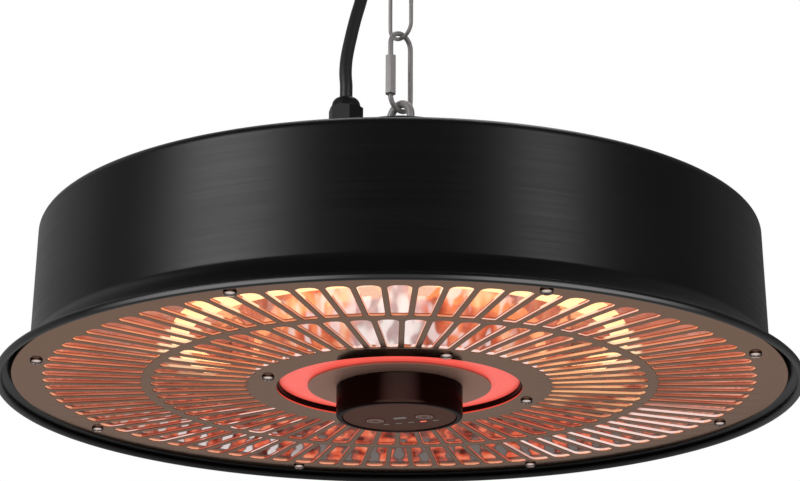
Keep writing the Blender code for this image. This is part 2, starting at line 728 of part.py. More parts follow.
def eye_bolt():
    """The eye bolt through the drum's neck, with the washer and nut below the roof."""
    foot = EYE_FOOT_Z - FACE_Z
    neck_underside = NECK_HEIGHT - SHEET
    outline = [
        (0.0, foot + EYE_COLLAR_HEIGHT),
        (EYE_COLLAR_RADIUS, foot + EYE_COLLAR_HEIGHT),
        (EYE_COLLAR_RADIUS, foot),
        (EYE_SHANK_RADIUS, foot),
        (EYE_SHANK_RADIUS, foot - EYE_SHANK_LENGTH),
        (0.0, foot - EYE_SHANK_LENGTH),
    ]
    bolt = solid_turned("eye_bolt", outline, NUT_STEPS, BRIGHT_STEEL)
    middle = EYE_Z - FACE_Z
    around = upright(circle(EYE_RADIUS, EYE_STEPS, (0.0, middle)), LINK_TURN)
    eye = meshed(tube("eye_ring", around, EYE_WIRE, BRIGHT_STEEL, closed=True), BRIGHT_STEEL)
    join(bolt, eye)
    top = neck_underside - GAP
    washer_foot = top - EYE_WASHER_THICKNESS
    hole = EYE_SHANK_RADIUS + GAP
    washer = ring("eye_washer", hole, EYE_WASHER_RADIUS, washer_foot, top, NUT_STEPS, GREY_STEEL)
    nut_top = washer_foot - GAP
    nut = prism("eye_nut", EYE_NUT_FLATS, nut_top - EYE_NUT_HEIGHT, nut_top, 0.0, GREY_STEEL)
    bore = rod_outline(hole, nut_top - EYE_NUT_HEIGHT - OVERRUN, nut_top + OVERRUN)
    cut(nut, solid_turned("eye_nut_bore", bore, NUT_STEPS, None))
    return [bolt, washer, nut]


def flare_points():
    """The brim's outer side: radius grows with a power of the depth below the wall's foot."""
    middle = (BRIM_RADIUS - BEAD_RADIUS, -BEAD_RADIUS)
    end_radius, end_height = arc(middle, BEAD_RADIUS, BEAD_START, BEAD_START, 1)[0]
    points = []
    for i in range(FLARE_STEPS):
        share = i / FLARE_STEPS
        radius = DRUM_FOOT_RADIUS + (end_radius - DRUM_FOOT_RADIUS) * share**FLARE_POWER
        points.append((radius, DRUM_FOOT_HEIGHT + (end_height - DRUM_FOOT_HEIGHT) * share))
    return points + arc(middle, BEAD_RADIUS, BEAD_START, BEAD_END, BEAD_STEPS)


def housing():
    """The drum: neck, roof, wall, flared brim and rolled edge, one thickness of sheet."""
    neck_middle = (NECK_RADIUS - NECK_FILLET, NECK_HEIGHT - NECK_FILLET)
    shoulder_middle = (DRUM_TOP_RADIUS - SHOULDER_FILLET, DRUM_HEIGHT - SHOULDER_FILLET)
    profile = [
        (EYE_SHANK_RADIUS + GAP, NECK_HEIGHT),
        *arc(neck_middle, NECK_FILLET, 90, 0, NECK_STEPS),
        (NECK_RADIUS, ROOF_FLAT_HEIGHT),
        (ROOF_FLAT_RADIUS, ROOF_FLAT_HEIGHT),
        *arc(shoulder_middle, SHOULDER_FILLET, SHOULDER_START, 0, SHOULDER_STEPS),
        *flare_points(),
    ]
    shell = turned("drum_housing", profile, DRUM_STEPS, BLACK_PAINT, closed=False)
    wall = shell.modifiers.new("sheet", "SOLIDIFY")
    wall.thickness = SHEET
    wall.offset = -1.0
    wall.use_even_offset = True
    hole = rod_outline(GLAND_SHANK_RADIUS + GAP, ROOF_UNDERSIDE - OVERRUN, ROOF_FLAT_HEIGHT + OVERRUN)
    cut(shell, moved(solid_turned("gland_hole", hole, NUT_STEPS, None), *GLAND_PLACE))
    return shell


def ledge():
    """The ring inside the drum's foot: a ledge for the grille's screws, a wall and a lip against the drum."""
    low = GRILLE_TOP
    lip = wall_radius(LEDGE_HEIGHT) - SHEET - GAP
    inner = LEDGE_INNER_RADIUS
    section = [
        (inner, low),
        (inner, LEDGE_HEIGHT),
        (lip, LEDGE_HEIGHT),
        (lip, LEDGE_HEIGHT - LEDGE_SHEET),
        (inner + LEDGE_SHEET, LEDGE_HEIGHT - LEDGE_SHEET),
        (inner + LEDGE_SHEET, low + LEDGE_SHEET),
        (LEDGE_OUTER_RADIUS, low + LEDGE_SHEET),
        (LEDGE_OUTER_RADIUS, low),
    ]
    made = turned("ledge_ring", section, DRUM_STEPS, GREY_STEEL)
    hole = rod_outline(SCREW_RADIUS + GAP, low - OVERRUN, low + LEDGE_SHEET + OVERRUN)
    holes = [
        moved(solid_turned(f"ledge_hole_{i}", hole, SCREW_STEPS, None), *at_turn(GRILLE_SCREW_CIRCLE, turn))
        for i, turn in enumerate(GRILLE_SCREW_TURNS)
    ]
    return cut(made, group("ledge_holes", holes, None))


def slot(count, start, end, middle, narrowed):
    """One slot's outline, with slats of one width beside it; the outer ring's have a narrowed outer end."""
    half_pitch = math.pi / count

    def edge(radius):
        return radius * math.sin(half_pitch) - SLAT_WIDTH / 2

    shoulder = end - SLOT_ROUND
    side = [(edge(start), start), (edge(shoulder), shoulder), (edge(shoulder) * SLOT_NARROWS_SHARE, end)]
    if not narrowed:
        side = [(edge(start), start), (edge(end), end)]
    around = side + [(-across, along) for across, along in reversed(side)]
    spin = Matrix.Rotation(middle, 2)
    return [tuple(spin @ Vector((along, across))) for across, along in around]


def slot_ring(count, start, end, turn, narrowed):
    """The outlines of a ring of slots."""
    return [slot(count, start, end, turn + 2 * math.pi * i / count, narrowed) for i in range(count)]


def grille():
    """The mirror plate with its two rings of slots, its screw holes and its hole for the light ring."""
    outer_places = [at_turn(GRILLE_SCREW_CIRCLE, turn) for turn in GRILLE_SCREW_TURNS]
    hub_places = [at_turn(HUB_SCREW_CIRCLE, turn) for turn in HUB_SCREW_TURNS]
    outlines = [circle(GRILLE_RADIUS, GRILLE_STEPS), circle(GRILLE_HOLE_RADIUS, HUB_STEPS)]
    outlines += slot_ring(OUTER_SLOT_COUNT, OUTER_SLOT_START, OUTER_SLOT_END, OUTER_SLOT_TURN, True)
    outlines += slot_ring(INNER_SLOT_COUNT, INNER_SLOT_START, INNER_SLOT_END, INNER_SLOT_TURN, False)
    outlines += [circle(SCREW_RADIUS + GAP, SCREW_STEPS, place) for place in outer_places + hub_places]
    plate = flat("grille_plate", outlines, 0.0, GRILLE_THICKNESS, COPPER_MIRROR)
    outline = screw_outline(SCREW_HEAD_RADIUS, SCREW_HEAD_HEIGHT, SCREW_RADIUS, SCREW_LENGTH)
    fixings = screws("grille_screw", outline, outer_places, -GAP, BRIGHT_STEEL)
    return [plate, *fixings, *screws("carrier_screw", outline, hub_places, -GAP, BRIGHT_STEEL)]


def reflector():
    """The polished channel round the lamp, open towards the grille."""
    outer_foot = LEDGE_INNER_RADIUS - GAP - REFLECTOR_SHEET
    flange_top = GRILLE_TOP + CARRIER_WALL + GAP
    profile = [
        (REFLECTOR_INNER_FOOT, flange_top),
        (REFLECTOR_INNER_TOP, REFLECTOR_HEIGHT),
        (REFLECTOR_OUTER_TOP, REFLECTOR_HEIGHT),
        (outer_foot, GRILLE_TOP + GAP),
    ]
    made = turned("reflector", profile, DRUM_STEPS, POLISHED, closed=False)
    wall = made.modifiers.new("sheet", "SOLIDIFY")
    wall.thickness = REFLECTOR_SHEET
    wall.offset = 1.0
    wall.use_even_offset = True
    return join(made, *lamp_clips())


def ring_path(radius, height, start, end, steps):
    """Points along a level arc, its angles in radians."""
    flat_arc = arc((0.0, 0.0), radius, math.degrees(start), math.degrees(end), steps)
    return [(x, y, height) for x, y in flat_arc]


def lamp():
    """The ring lamp: quartz tube open at its ends, filament and the ceramic holder of its ends."""
    start = LAMP_TURN + LAMP_OPENING
    end = LAMP_TURN + 2 * math.pi - LAMP_OPENING
    path = ring_path(LAMP_RADIUS, LAMP_HEIGHT, start, end, LAMP_STEPS)
    outside = tube("quartz_tube", path, LAMP_DIAMETER, QUARTZ, sides=1)
    outside.data.use_fill_caps = False
    quartz = meshed(outside, QUARTZ)
    wall = quartz.modifiers.new("wall", "SOLIDIFY")
    wall.thickness = LAMP_WALL
    wall.offset = -1.0
    filament = tube("filament", path, FILAMENT_DIAMETER, HOT_WIRE, sides=0)
    return [quartz, filament, lamp_holder()]


def lamp_holder():
    """The ceramic holder: a foot over each end of the lamp's tube and a bridge between them."""
    top = REFLECTOR_HEIGHT - GAP
    low = LAMP_HEIGHT - CAP_DROP
    half_chord = (math.pi - LAMP_OPENING) / LAMP_STEPS
    reach = LAMP_OPENING - (CAP_LENGTH / 2 + GAP) / LAMP_RADIUS
    feet = []
    for i, side in enumerate((-1, 1)):
        turn = LAMP_TURN + side * (LAMP_OPENING + half_chord)
        end_x, end_y = at_turn(LAMP_RADIUS, math.degrees(LAMP_TURN + side * LAMP_OPENING))
        back = -side * (CAP_LENGTH / 2 + GAP)
        middle = (end_x - math.sin(turn) * back, end_y + math.cos(turn) * back, (low + top) / 2)
        feet.append(block(f"foot_{i}", (CAP_WIDTH, CAP_LENGTH, top - low), middle, CERAMIC, turn))
    place = at_turn(LAMP_RADIUS * math.cos(reach), math.degrees(LAMP_TURN))
    size = (CAP_WIDTH - CAP_STEP, 2 * LAMP_RADIUS * math.sin(reach), BRIDGE_HEIGHT)
    bridge = block("lamp_holder", size, (*place, top - CAP_STEP - BRIDGE_HEIGHT / 2), CERAMIC, LAMP_TURN)
    return join(bridge, group("holder_feet", feet, None))


def lamp_clips():
    """Clips that hold the lamp's tube below the reflector: a ring on a tab through its sheet."""
    inner = LAMP_DIAMETER / 2 + GAP
    outer = inner + SUPPORT_WALL
    top = REFLECTOR_HEIGHT + REFLECTOR_SHEET / 2 - LAMP_HEIGHT
    shoulder = math.degrees(math.asin(TAB_HALF_SHARE))
    around = arc((0.0, 0.0), outer, 90 + shoulder, 450 - shoulder, SUPPORT_STEPS)
    half = outer * TAB_HALF_SHARE
    outline = [*around, (half, top), (-half, top)]
    made = []
    for i, step in enumerate(SUPPORT_PLACES):
        turn = math.degrees(LAMP_TURN + LAMP_OPENING + 2 * (math.pi - LAMP_OPENING) * step / LAMP_STEPS)
        half_thick = SUPPORT_THICKNESS / 2
        clip = flat(f"clip_{i}", [outline, circle(inner, SUPPORT_STEPS)], -half_thick, half_thick, None)
        x, y = at_turn(LAMP_RADIUS, turn)
        stand = Matrix.Rotation(math.radians(turn), 4, "Z") @ Matrix.Rotation(math.pi / 2, 4, "X")
        clip.matrix_world = Matrix.Translation((x, y, LAMP_HEIGHT)) @ stand
        made.append(meshed(clip, None))
    return made


def posts(name, places, low, high, radius=POST_RADIUS):
    """Round posts between two heights, to be joined to a piece that they overlap."""
    made = [
        moved(solid_turned(f"{name}_{i}", rod_outline(radius, low, high), SCREW_STEPS, None), *place)
        for i, place in enumerate(places)
    ]
    return group(name, made, None)


def frame_inside():
    """The heat shield, whose rim stands on the reflector, and the cross bracket with its two studs."""
    low = REFLECTOR_HEIGHT + REFLECTOR_SHEET + GAP
    hole = STEM_RADIUS + GAP
    section = [
        (hole, SHIELD_TOP),
        (SHIELD_RADIUS, SHIELD_TOP),
        (SHIELD_RADIUS, low),
        (SHIELD_RADIUS - SHIELD_THICKNESS, low),
        (SHIELD_RADIUS - SHIELD_THICKNESS, SHIELD_HEIGHT),
        (hole, SHIELD_HEIGHT),
    ]
    shield = turned("heat_shield", section, HUB_STEPS, GREY_STEEL)
    reach = BRACKET_REACH
    inside = reach - BRACKET_SHEET
    foot = LEDGE_HEIGHT + GAP
    outline = [
        (-reach, foot),
        (-reach, BRACKET_TOP),
        (reach, BRACKET_TOP),
        (reach, foot),
        (inside, foot),
        (inside, BRACKET_HEIGHT),
        (-inside, BRACKET_HEIGHT),
        (-inside, foot),
    ]
    strap = flat("cross_bracket", [outline], -BRACKET_WIDTH / 2, BRACKET_WIDTH / 2, GREY_STEEL)
    strap.matrix_world = Matrix.Rotation(math.pi / 2, 4, "X")
    strap = meshed(strap, GREY_STEEL)
    sides = [(-BRACKET_POST_PLACE, 0.0), (BRACKET_POST_PLACE, 0.0)]
    join(strap, posts("bracket_studs", sides, SHIELD_TOP + GAP, BRACKET_HEIGHT + BRACKET_SHEET / 2))
    opening = rod_outline(hole, BRACKET_HEIGHT - OVERRUN, BRACKET_TOP + OVERRUN)
    cut(strap, solid_turned("bracket_hole", opening, NUT_STEPS, None))
    return [shield, strap]


def light_ring():
    """The black carrier in the grille's hole, its board of diodes and the red diffuser."""
    low = GRILLE_TOP
    wall = CARRIER_WALL
    foot = DISC_HEIGHT + DISC_THICKNESS + GAP
    section = [
        (CARRIER_FLANGE_RADIUS, low),
        (CARRIER_FLANGE_RADIUS, low + wall),
        (CARRIER_OUTER_RADIUS, low + wall),
        (CARRIER_OUTER_RADIUS, CARRIER_HEIGHT),
        (CARRIER_INNER_RADIUS, CARRIER_HEIGHT),
        (CARRIER_INNER_RADIUS, foot),
        (CARRIER_INNER_RADIUS + wall, foot),
        (CARRIER_INNER_RADIUS + wall, CARRIER_HEIGHT - wall),
        (CARRIER_HOLE, CARRIER_HEIGHT - wall),
        (CARRIER_HOLE, low),
    ]
    carrier = turned("light_ring_carrier", section, HUB_STEPS, BLACK_PLASTIC)
    hole = rod_outline(SCREW_RADIUS + GAP, low - OVERRUN, low + wall + OVERRUN)
    holes = [
        moved(solid_turned(f"carrier_hole_{i}", hole, SCREW_STEPS, None), *at_turn(HUB_SCREW_CIRCLE, turn))
        for i, turn in enumerate(HUB_SCREW_TURNS)
    ]
    cut(carrier, group("carrier_holes", holes, None))
    inner = CARRIER_INNER_RADIUS + wall + GAP
    outer = CARRIER_HOLE - GAP
    face = [
        (inner, RING_FACE),
        ((inner + outer) / 2, RING_FACE - RING_CROWN),
        (outer, RING_FACE),
        (outer, RING_FACE + RING_THICKNESS),
        (inner, RING_FACE + RING_THICKNESS),
    ]
    diffuser = turned("light_ring", face, HUB_STEPS, RED_DIFFUSER)
    board_top = CARRIER_HEIGHT - wall - GAP
    board_low = board_top - LED_BOARD_THICKNESS
    board = ring("light_ring_board", inner, outer, board_low, board_top, HUB_STEPS, WHITE_PLASTIC)
    size = (LED_SIZE, LED_SIZE, LED_HEIGHT + LED_BOARD_THICKNESS / 2)
    middle = board_low + LED_BOARD_THICKNESS / 2 - size[2] / 2
    lamps = []
    for i in range(LED_COUNT):
        turn = 2 * math.pi * i / LED_COUNT
        place = (*at_turn(LED_CIRCLE, math.degrees(turn)), middle)
        lamps.append(block(f"diode_{i}", size, place, None, turn))
    join(board, group("diodes", lamps, None))
    return [carrier, diffuser, board]


def on_panel(place):
    """A place on the panel, turned with it."""
    x, y = Matrix.Rotation(PANEL_TURN, 2) @ Vector(place)
    return x, y


def light_places():
    """Where the row of indicator windows stands."""
    x, y = LIGHT_PLACE
    first = x - (LIGHT_COUNT - 1) / 2 * LIGHT_PITCH
    return [on_panel((first + i * LIGHT_PITCH, y)) for i in range(LIGHT_COUNT)]


def hub():
    """The copper disc, the black cup below it, its panel and what shows in the panel."""
    stem_hole = STEM_RADIUS + GAP
    disc_top = DISC_HEIGHT + DISC_THICKNESS
    disc = ring("hub_disc", stem_hole, DISC_RADIUS, DISC_HEIGHT, disc_top, HUB_STEPS, COPPER_MIRROR)
    top = DISC_HEIGHT - GAP
    lip = PANEL_FACE + PANEL_THICKNESS - GAP
    wide = PANEL_RADIUS + PANEL_LIP + GAP
    section = [
        (stem_hole, top),
        (HUB_RADIUS, top),
        *arc((HUB_RADIUS - HUB_FILLET, HUB_FILLET - HUB_DROP), HUB_FILLET, 0, -90, HUB_FILLET_STEPS),
        (PANEL_RADIUS + GAP, -HUB_DROP),
        (PANEL_RADIUS + GAP, lip),
        (wide, lip),
        (wide, top - HUB_WALL),
        (stem_hole, top - HUB_WALL),
    ]
    cup = turned("hub_housing", section, CUP_STEPS, BLACK_GLOSS)
    places = [at_turn(BOARD_POST_CIRCLE, turn) for turn in BOARD_POST_TURNS]
    seat = BOARD_THICKNESS - BOARD_DEPTH + GAP
    join(cup, posts("hub_posts", places, seat, top - HUB_WALL / 2, BOARD_POST_RADIUS))
    panel_outline = [
        (0.0, PANEL_BACK),
        (PANEL_RADIUS + PANEL_LIP, PANEL_BACK),
        (PANEL_RADIUS + PANEL_LIP, PANEL_FACE + PANEL_THICKNESS),
        (PANEL_RADIUS, PANEL_FACE + PANEL_THICKNESS),
        (PANEL_RADIUS, PANEL_FACE),
        (0.0, PANEL_FACE),
    ]
    panel = solid_turned("control_panel", panel_outline, CUP_STEPS, PANEL_BROWN)
    low = PANEL_FACE - OVERRUN
    high = PANEL_BACK + OVERRUN
    key_hole = rod_outline(KEY_RADIUS + GAP, low, high)
    holes = [
        moved(solid_turned(f"key_hole_{i}", key_hole, NUT_STEPS, None), *on_panel(place))
        for i, place in enumerate(KEY_PLACES)
    ]
    depth = high - low
    middle = (low + high) / 2
    openings = [(on_panel(WINDOW_PLACE), WINDOW_SIZE)] + [(place, LIGHT_SIZE) for place in light_places()]
    for i, (place, size) in enumerate(openings):
        wide_size = (size[0] + 2 * GAP, size[1] + 2 * GAP, depth)
        holes.append(block(f"panel_hole_{i}", wide_size, (*place, middle), None, PANEL_TURN))
    cut(panel, group("panel_holes", holes, None))
    return [disc, cup, panel]


def panel_pieces():
    """The infrared window, and the lens that shows in the panel as a row of small windows."""
    low = PANEL_FACE
    height = PANEL_BACK - PANEL_FACE
    middle = low + height / 2
    window = block(
        "infrared_window", (*WINDOW_SIZE, height), (*on_panel(WINDOW_PLACE), middle), DARK_LENS, PANEL_TURN
    )
    bar_low = PANEL_BACK + GAP
    length = (LIGHT_COUNT - 1) * LIGHT_PITCH + 2 * LIGHT_SIZE[0]
    lens = block(
        "indicator_lens",
        (length, LENS_BAR_WIDTH, LENS_BAR_HEIGHT),
        (*on_panel(LIGHT_PLACE), bar_low + LENS_BAR_HEIGHT / 2),
        DARK_LENS,
        PANEL_TURN,
    )
    tall = bar_low + LENS_BAR_HEIGHT / 2 - low
    lights = [
        block(f"light_{i}", (*LIGHT_SIZE, tall), (*place, low + tall / 2), None, PANEL_TURN)
        for i, place in enumerate(light_places())
    ]
    return [window, join(lens, group("lens_windows", lights, None))]


def key(name, place):
    """A round key with a flange behind the panel, its origin on its own axis."""
    low = PANEL_FACE - KEY_PROUD
    seat = PANEL_BACK + GAP
    top = seat + KEY_FLANGE_HEIGHT
    bevel = KEY_PROUD
    outline = [
        (0.0, top),
        (KEY_RADIUS + KEY_FLANGE, top),
        (KEY_RADIUS + KEY_FLANGE, seat),
        (KEY_RADIUS, seat),
        (KEY_RADIUS, low + bevel),
        (KEY_RADIUS - bevel, low),
        (0.0, low),
    ]
    return moved(solid_turned(name, outline, NUT_STEPS, PANEL_BROWN), *on_panel(place))


def hub_inside():
    """The control board with its key switches and infrared receiver."""
    board_low = -BOARD_DEPTH
    board_top = board_low + BOARD_THICKNESS
    board = ring("control_board", BOARD_HOLE, BOARD_RADIUS, board_low, board_top, CUP_STEPS, BOARD_GREEN)
    seat = board_low + BOARD_THICKNESS / 2
    body_foot = board_low - SWITCH_SIZE[2]
    key_top = PANEL_BACK + GAP + KEY_FLANGE_HEIGHT
    size = (*SWITCH_SIZE[:2], seat - body_foot)
    stub = rod_outline(PLUNGER_RADIUS, key_top + KEY_TRAVEL + GAP, body_foot + OVERRUN / 2)
    bodies = []
    plungers = []
    for i, place in enumerate(KEY_PLACES):
        x, y = on_panel(place)
        bodies.append(block(f"switch_{i}", size, (x, y, (seat + body_foot) / 2), None, PANEL_TURN))
        plungers.append(moved(solid_turned(f"plunger_{i}", stub, SCREW_STEPS, None), x, y))
    tall = RECEIVER_SIZE[2] + BOARD_THICKNESS / 2
    receiver_size = (*RECEIVER_SIZE[:2], tall)
    place = (*on_panel(WINDOW_PLACE), seat - tall / 2)
    bodies.append(block("receiver", receiver_size, place, None, PANEL_TURN))
    return [join(board, group("board_pieces", bodies, None), group("board_plungers", plungers, None))]


def stem():
    """The flanged tube that carries the hub, and its nut on the bracket."""
    foot = DISC_HEIGHT - GAP - HUB_WALL - GAP - STEM_FLANGE_HEIGHT
    section = [
        (STEM_BORE, STEM_TOP),
        (STEM_RADIUS, STEM_TOP),
        (STEM_RADIUS, foot + STEM_FLANGE_HEIGHT),
        (STEM_FLANGE_RADIUS, foot + STEM_FLANGE_HEIGHT),
        (STEM_FLANGE_RADIUS, foot),
        (STEM_BORE, foot),
    ]
    pipe = turned("hub_stem", section, NUT_STEPS, GREY_STEEL)
    low = BRACKET_TOP + GAP
    high = low + STEM_NUT_HEIGHT
    nut = prism("stem_nut", STEM_NUT_FLATS, low, high, 0.0, GREY_STEEL)
    bore = rod_outline(STEM_RADIUS + GAP, low - OVERRUN, high + OVERRUN)
    cut(nut, solid_turned("stem_nut_bore", bore, NUT_STEPS, None))
    return [pipe, nut]


def electrics():
    """Power board on its carrier, terminal block, thermal cut-out and the lead from the gland."""
    wide, deep, thick = POWER_BOARD_SIZE
    base = SHIELD_TOP + GAP
    low = base + POWER_BOARD_RISE
    middle_y = POWER_BOARD_PLACE
    board = block("power_board", POWER_BOARD_SIZE, (0.0, middle_y, low + thick / 2), BOARD_GREEN)
    seat = low + thick / 2
    fitted = []
    for i, (size, (x, y)) in enumerate(POWER_PIECES):
        tall = size[2] + thick / 2
        fitted.append(block(f"component_{i}", (*size[:2], tall), (x, middle_y + y, seat + tall / 2), None))
    join(board, group("board_components", fitted, None))
    tray_middle = (0.0, middle_y, base + CARRIER_BASE / 2)
    tray = block("board_carrier", (wide, deep, CARRIER_BASE), tray_middle, WHITE_PLASTIC)
    across = wide / 2 - POWER_BOARD_INSET
    along = deep / 2 - POWER_BOARD_INSET
    corners = [(sx * across, middle_y + sy * along) for sx in (-1, 1) for sy in (-1, 1)]
    join(tray, posts("tray_posts", corners, base + CARRIER_BASE / 2, low - GAP))
    terminal_middle = (*GLAND_PLACE, base + TERMINAL_SIZE[2] / 2)
    terminals = block("terminal_block", TERMINAL_SIZE, terminal_middle, WHITE_PLASTIC)
    can = rod_outline(CUTOUT_RADIUS, base, base + CUTOUT_HEIGHT)
    cutout = moved(solid_turned("thermal_cutout", can, NUT_STEPS, BLACK_PLASTIC), *CUTOUT_PLACE)
    foot = base + TERMINAL_SIZE[2] + GAP
    top = GLAND_SHANK_FOOT - GAP
    rise = (top - foot) / INNER_LEAD_STEPS
    route = [(*GLAND_PLACE, foot + rise * i) for i in range(INNER_LEAD_STEPS + 1)]
    return [board, tray, terminals, cutout, tube("inner_lead", route, CORD, BLACK_RUBBER)]


def gland():
    """Cable gland: seal and body on the roof, domed nut, rubber sleeve, lock nut below the roof."""
    x, y = GLAND_PLACE
    seal_foot = ROOF_FLAT_HEIGHT + GAP
    seal = ring(
        "gland_seal",
        GLAND_SHANK_RADIUS + GAP,
        GLAND_SEAL_RADIUS,
        seal_foot,
        seal_foot + GLAND_SEAL,
        NUT_STEPS,
        BLACK_RUBBER,
    )
    throat = GLAND_NUT_FOOT + GLAND_SLEEVE_HEIGHT
    body = prism("gland_body", GLAND_FLATS, GLAND_FOOT, GLAND_NUT_FOOT - GAP, GLAND_TURN, BLACK_PLASTIC)
    shank_outline = rod_outline(GLAND_SHANK_RADIUS, GLAND_SHANK_FOOT, throat)
    shank = solid_turned("gland_shank", shank_outline, NUT_STEPS, None)
    bore = rod_outline(GLAND_MOUTH, GLAND_SHANK_FOOT - OVERRUN, throat + OVERRUN)
    cut(join(body, shank), solid_turned("gland_bore", bore, NUT_STEPS, None))
    collar_top = GLAND_NUT_FOOT + GLAND_NUT_HEIGHT
    nut = prism("gland_nut", GLAND_FLATS, GLAND_NUT_FOOT, collar_top, GLAND_TURN, BLACK_PLASTIC)
    shoulder_radius, shoulder_height = GLAND_DOME_SHARES
    dome = [
        (0.0, GLAND_TOP),
        (GLAND_MOUTH + GLAND_WALL, GLAND_TOP),
        (GLAND_DOME_RADIUS * shoulder_radius, collar_top + GLAND_DOME_HEIGHT * shoulder_height),
        (GLAND_DOME_RADIUS, collar_top),
        (GLAND_DOME_RADIUS, collar_top - OVERRUN),
        (0.0, collar_top - OVERRUN),
    ]
    join(nut, solid_turned("gland_dome", dome, NUT_STEPS, None))
    hollow = [
        (0.0, GLAND_TOP + OVERRUN),
        (GLAND_MOUTH, GLAND_TOP + OVERRUN),
        (GLAND_MOUTH, collar_top),
        (GLAND_SHANK_RADIUS + GAP, collar_top - GLAND_WALL),
        (GLAND_SHANK_RADIUS + GAP, GLAND_NUT_FOOT - OVERRUN),
        (0.0, GLAND_NUT_FOOT - OVERRUN),
    ]
    cut(nut, solid_turned("gland_hollow", hollow, NUT_STEPS, None))
    sleeve = ring(
        "gland_sleeve",
        GLAND_MOUTH,
        GLAND_SLEEVE_RADIUS,
        throat + GAP,
        collar_top - GLAND_WALL - GAP,
        NUT_STEPS,
        BLACK_RUBBER,
    )
    lock_top = ROOF_UNDERSIDE - GAP
    lock_foot = lock_top - LOCKNUT_HEIGHT
    locknut = prism("gland_locknut", LOCKNUT_FLATS, lock_foot, lock_top, 0.0, BLACK_PLASTIC)
    lock_bore = rod_outline(GLAND_SHANK_RADIUS + GAP, lock_foot - OVERRUN, lock_top + OVERRUN)
    cut(locknut, solid_turned("locknut_bore", lock_bore, NUT_STEPS, None))
    return [moved_with_cutters(piece, x, y, 0.0) for piece in (seal, body, nut, sleeve, locknut)]


def coil_path():
    """The coil's middle line: it spirals in and out in layers and climbs half a turn where it reverses."""
    count = round(COIL_TURNS * COIL_STEPS)
    points = []
    for i in range(count + 1):
        turn = i / COIL_STEPS
        angle = COIL_START + 2 * math.pi * turn
        layer = min(int(turn / LAYER_TURNS), COIL_LAYERS - 1)
        inward = turn - layer * LAYER_TURNS
        if layer % 2:
            inward = LAYER_TURNS - inward
        depth = -COIL_HALF_DEPTH
        for reversal in range(1, COIL_LAYERS):
            share = (turn - reversal * LAYER_TURNS) / CLIMB_TURNS + CLIMB_TURNS
            share = min(max(share, 0.0), 1.0)
            depth += COIL_PITCH * share * share * (3 - 2 * share)
        radius = COIL_RADIUS - COIL_PITCH * inward
        points.append((COIL_X + radius * math.cos(angle), depth, radius * math.sin(angle) - COIL_DROP))
    return points


def least_gap(points, diameter):
    """The least clear gap between stretches of a wound tube that lie over half a turn apart along it."""
    path = np.array(points)
    apart = np.linalg.norm(path[:, None] - path[None], axis=2)
    order = np.arange(len(path))
    near = abs(order[:, None] - order[None]) < COIL_STEPS // 2
    apart[near] = np.inf
    return float(apart.min()) - diameter


def length_of(points):
    """The length of a line through points."""
    return float(np.linalg.norm(np.diff(np.array(points), axis=0), axis=1).sum())


def stepped(point, towards, distance):
    """A point moved towards another by a distance."""
    start = Vector(point)
    return tuple(start + (Vector(towards) - start).normalized() * distance)


def lead_stretches():
    """The free stretch from the gland to the coil, the coil, and the tail that hangs down to the plug."""
    coil = coil_path()
    run_in = stepped(coil[0], coil[1], -CORD)
    x, y = GLAND_PLACE
    start = (x, y, GLAND_TOP + GAP + FACE_Z)
    lifted = [(x + px, y + py, GLAND_TOP + FACE_Z + pz) for px, py, pz in CORD_ROUTE]
    free = smooth_route([start, *lifted, run_in, stepped(coil[0], run_in, GAP)], CORD_STEP)
    run_out = stepped(coil[-1], coil[-2], -CORD)
    tail = smooth_route([stepped(coil[-1], run_out, GAP), run_out, *TAIL_ROUTE, PLUG_PLACE], CORD_STEP)
    print("lead:", "free", round(length_of(free), 4), "coil", round(length_of(coil), 4), end=" ")
    print("tail", round(length_of(tail), 4), "least gap in the coil", round(least_gap(coil, CORD), 5))
    return free, coil, tail


def plug():
    """The plug on the lead's end: relief and body in one, two pins."""
    x, y, top = PLUG_PLACE
    top -= GAP
    wide, deep, tall = PLUG_BODY
    relief = [
        (0.0, top),
        (PLUG_RELIEF_RADIUS, top),
        (PLUG_RELIEF_RADIUS + PLUG_RELIEF_TAPER, top - PLUG_RELIEF),
        (PLUG_RELIEF_RADIUS + PLUG_RELIEF_TAPER, top - PLUG_RELIEF - OVERRUN),
        (0.0, top - PLUG_RELIEF - OVERRUN),
    ]
    body_top = top - PLUG_RELIEF
    mesh = bpy.data.meshes.new("plug_body")
    shape = bmesh.new()
    half = wide / 2
    bmesh.ops.create_cone(
        shape, cap_ends=True, segments=HUB_STEPS, radius1=half, radius2=half * PLUG_TAPER_SHARE, depth=tall
    )
    bmesh.ops.scale(shape, vec=(1, deep / wide, 1), verts=shape.verts)
    bmesh.ops.translate(shape, vec=(0, 0, body_top - tall / 2), verts=shape.verts)
    shape.to_mesh(mesh)
    shape.free()
    body = join(add("plug_body", mesh, BLACK_RUBBER), solid_turned("plug_relief", relief, NUT_STEPS, None))
    face = body_top - tall - GAP
    size = (PIN_SPREAD, PIN_PLATE_WIDTH, PIN_PLATE_HEIGHT)
    plate = block("plug_pins", size, (x, y, face - PIN_PLATE_HEIGHT / 2), BRIGHT_STEEL)
    places = [(x - PIN_SPREAD / 2, y), (x + PIN_SPREAD / 2, y)]
    tip = face - PIN_PLATE_HEIGHT - PIN_LENGTH
    join(plate, posts("pins", places, tip, face - PIN_PLATE_STEP, PIN_RADIUS))
    return [moved_with_cutters(body, x, y, 0.0), plate]


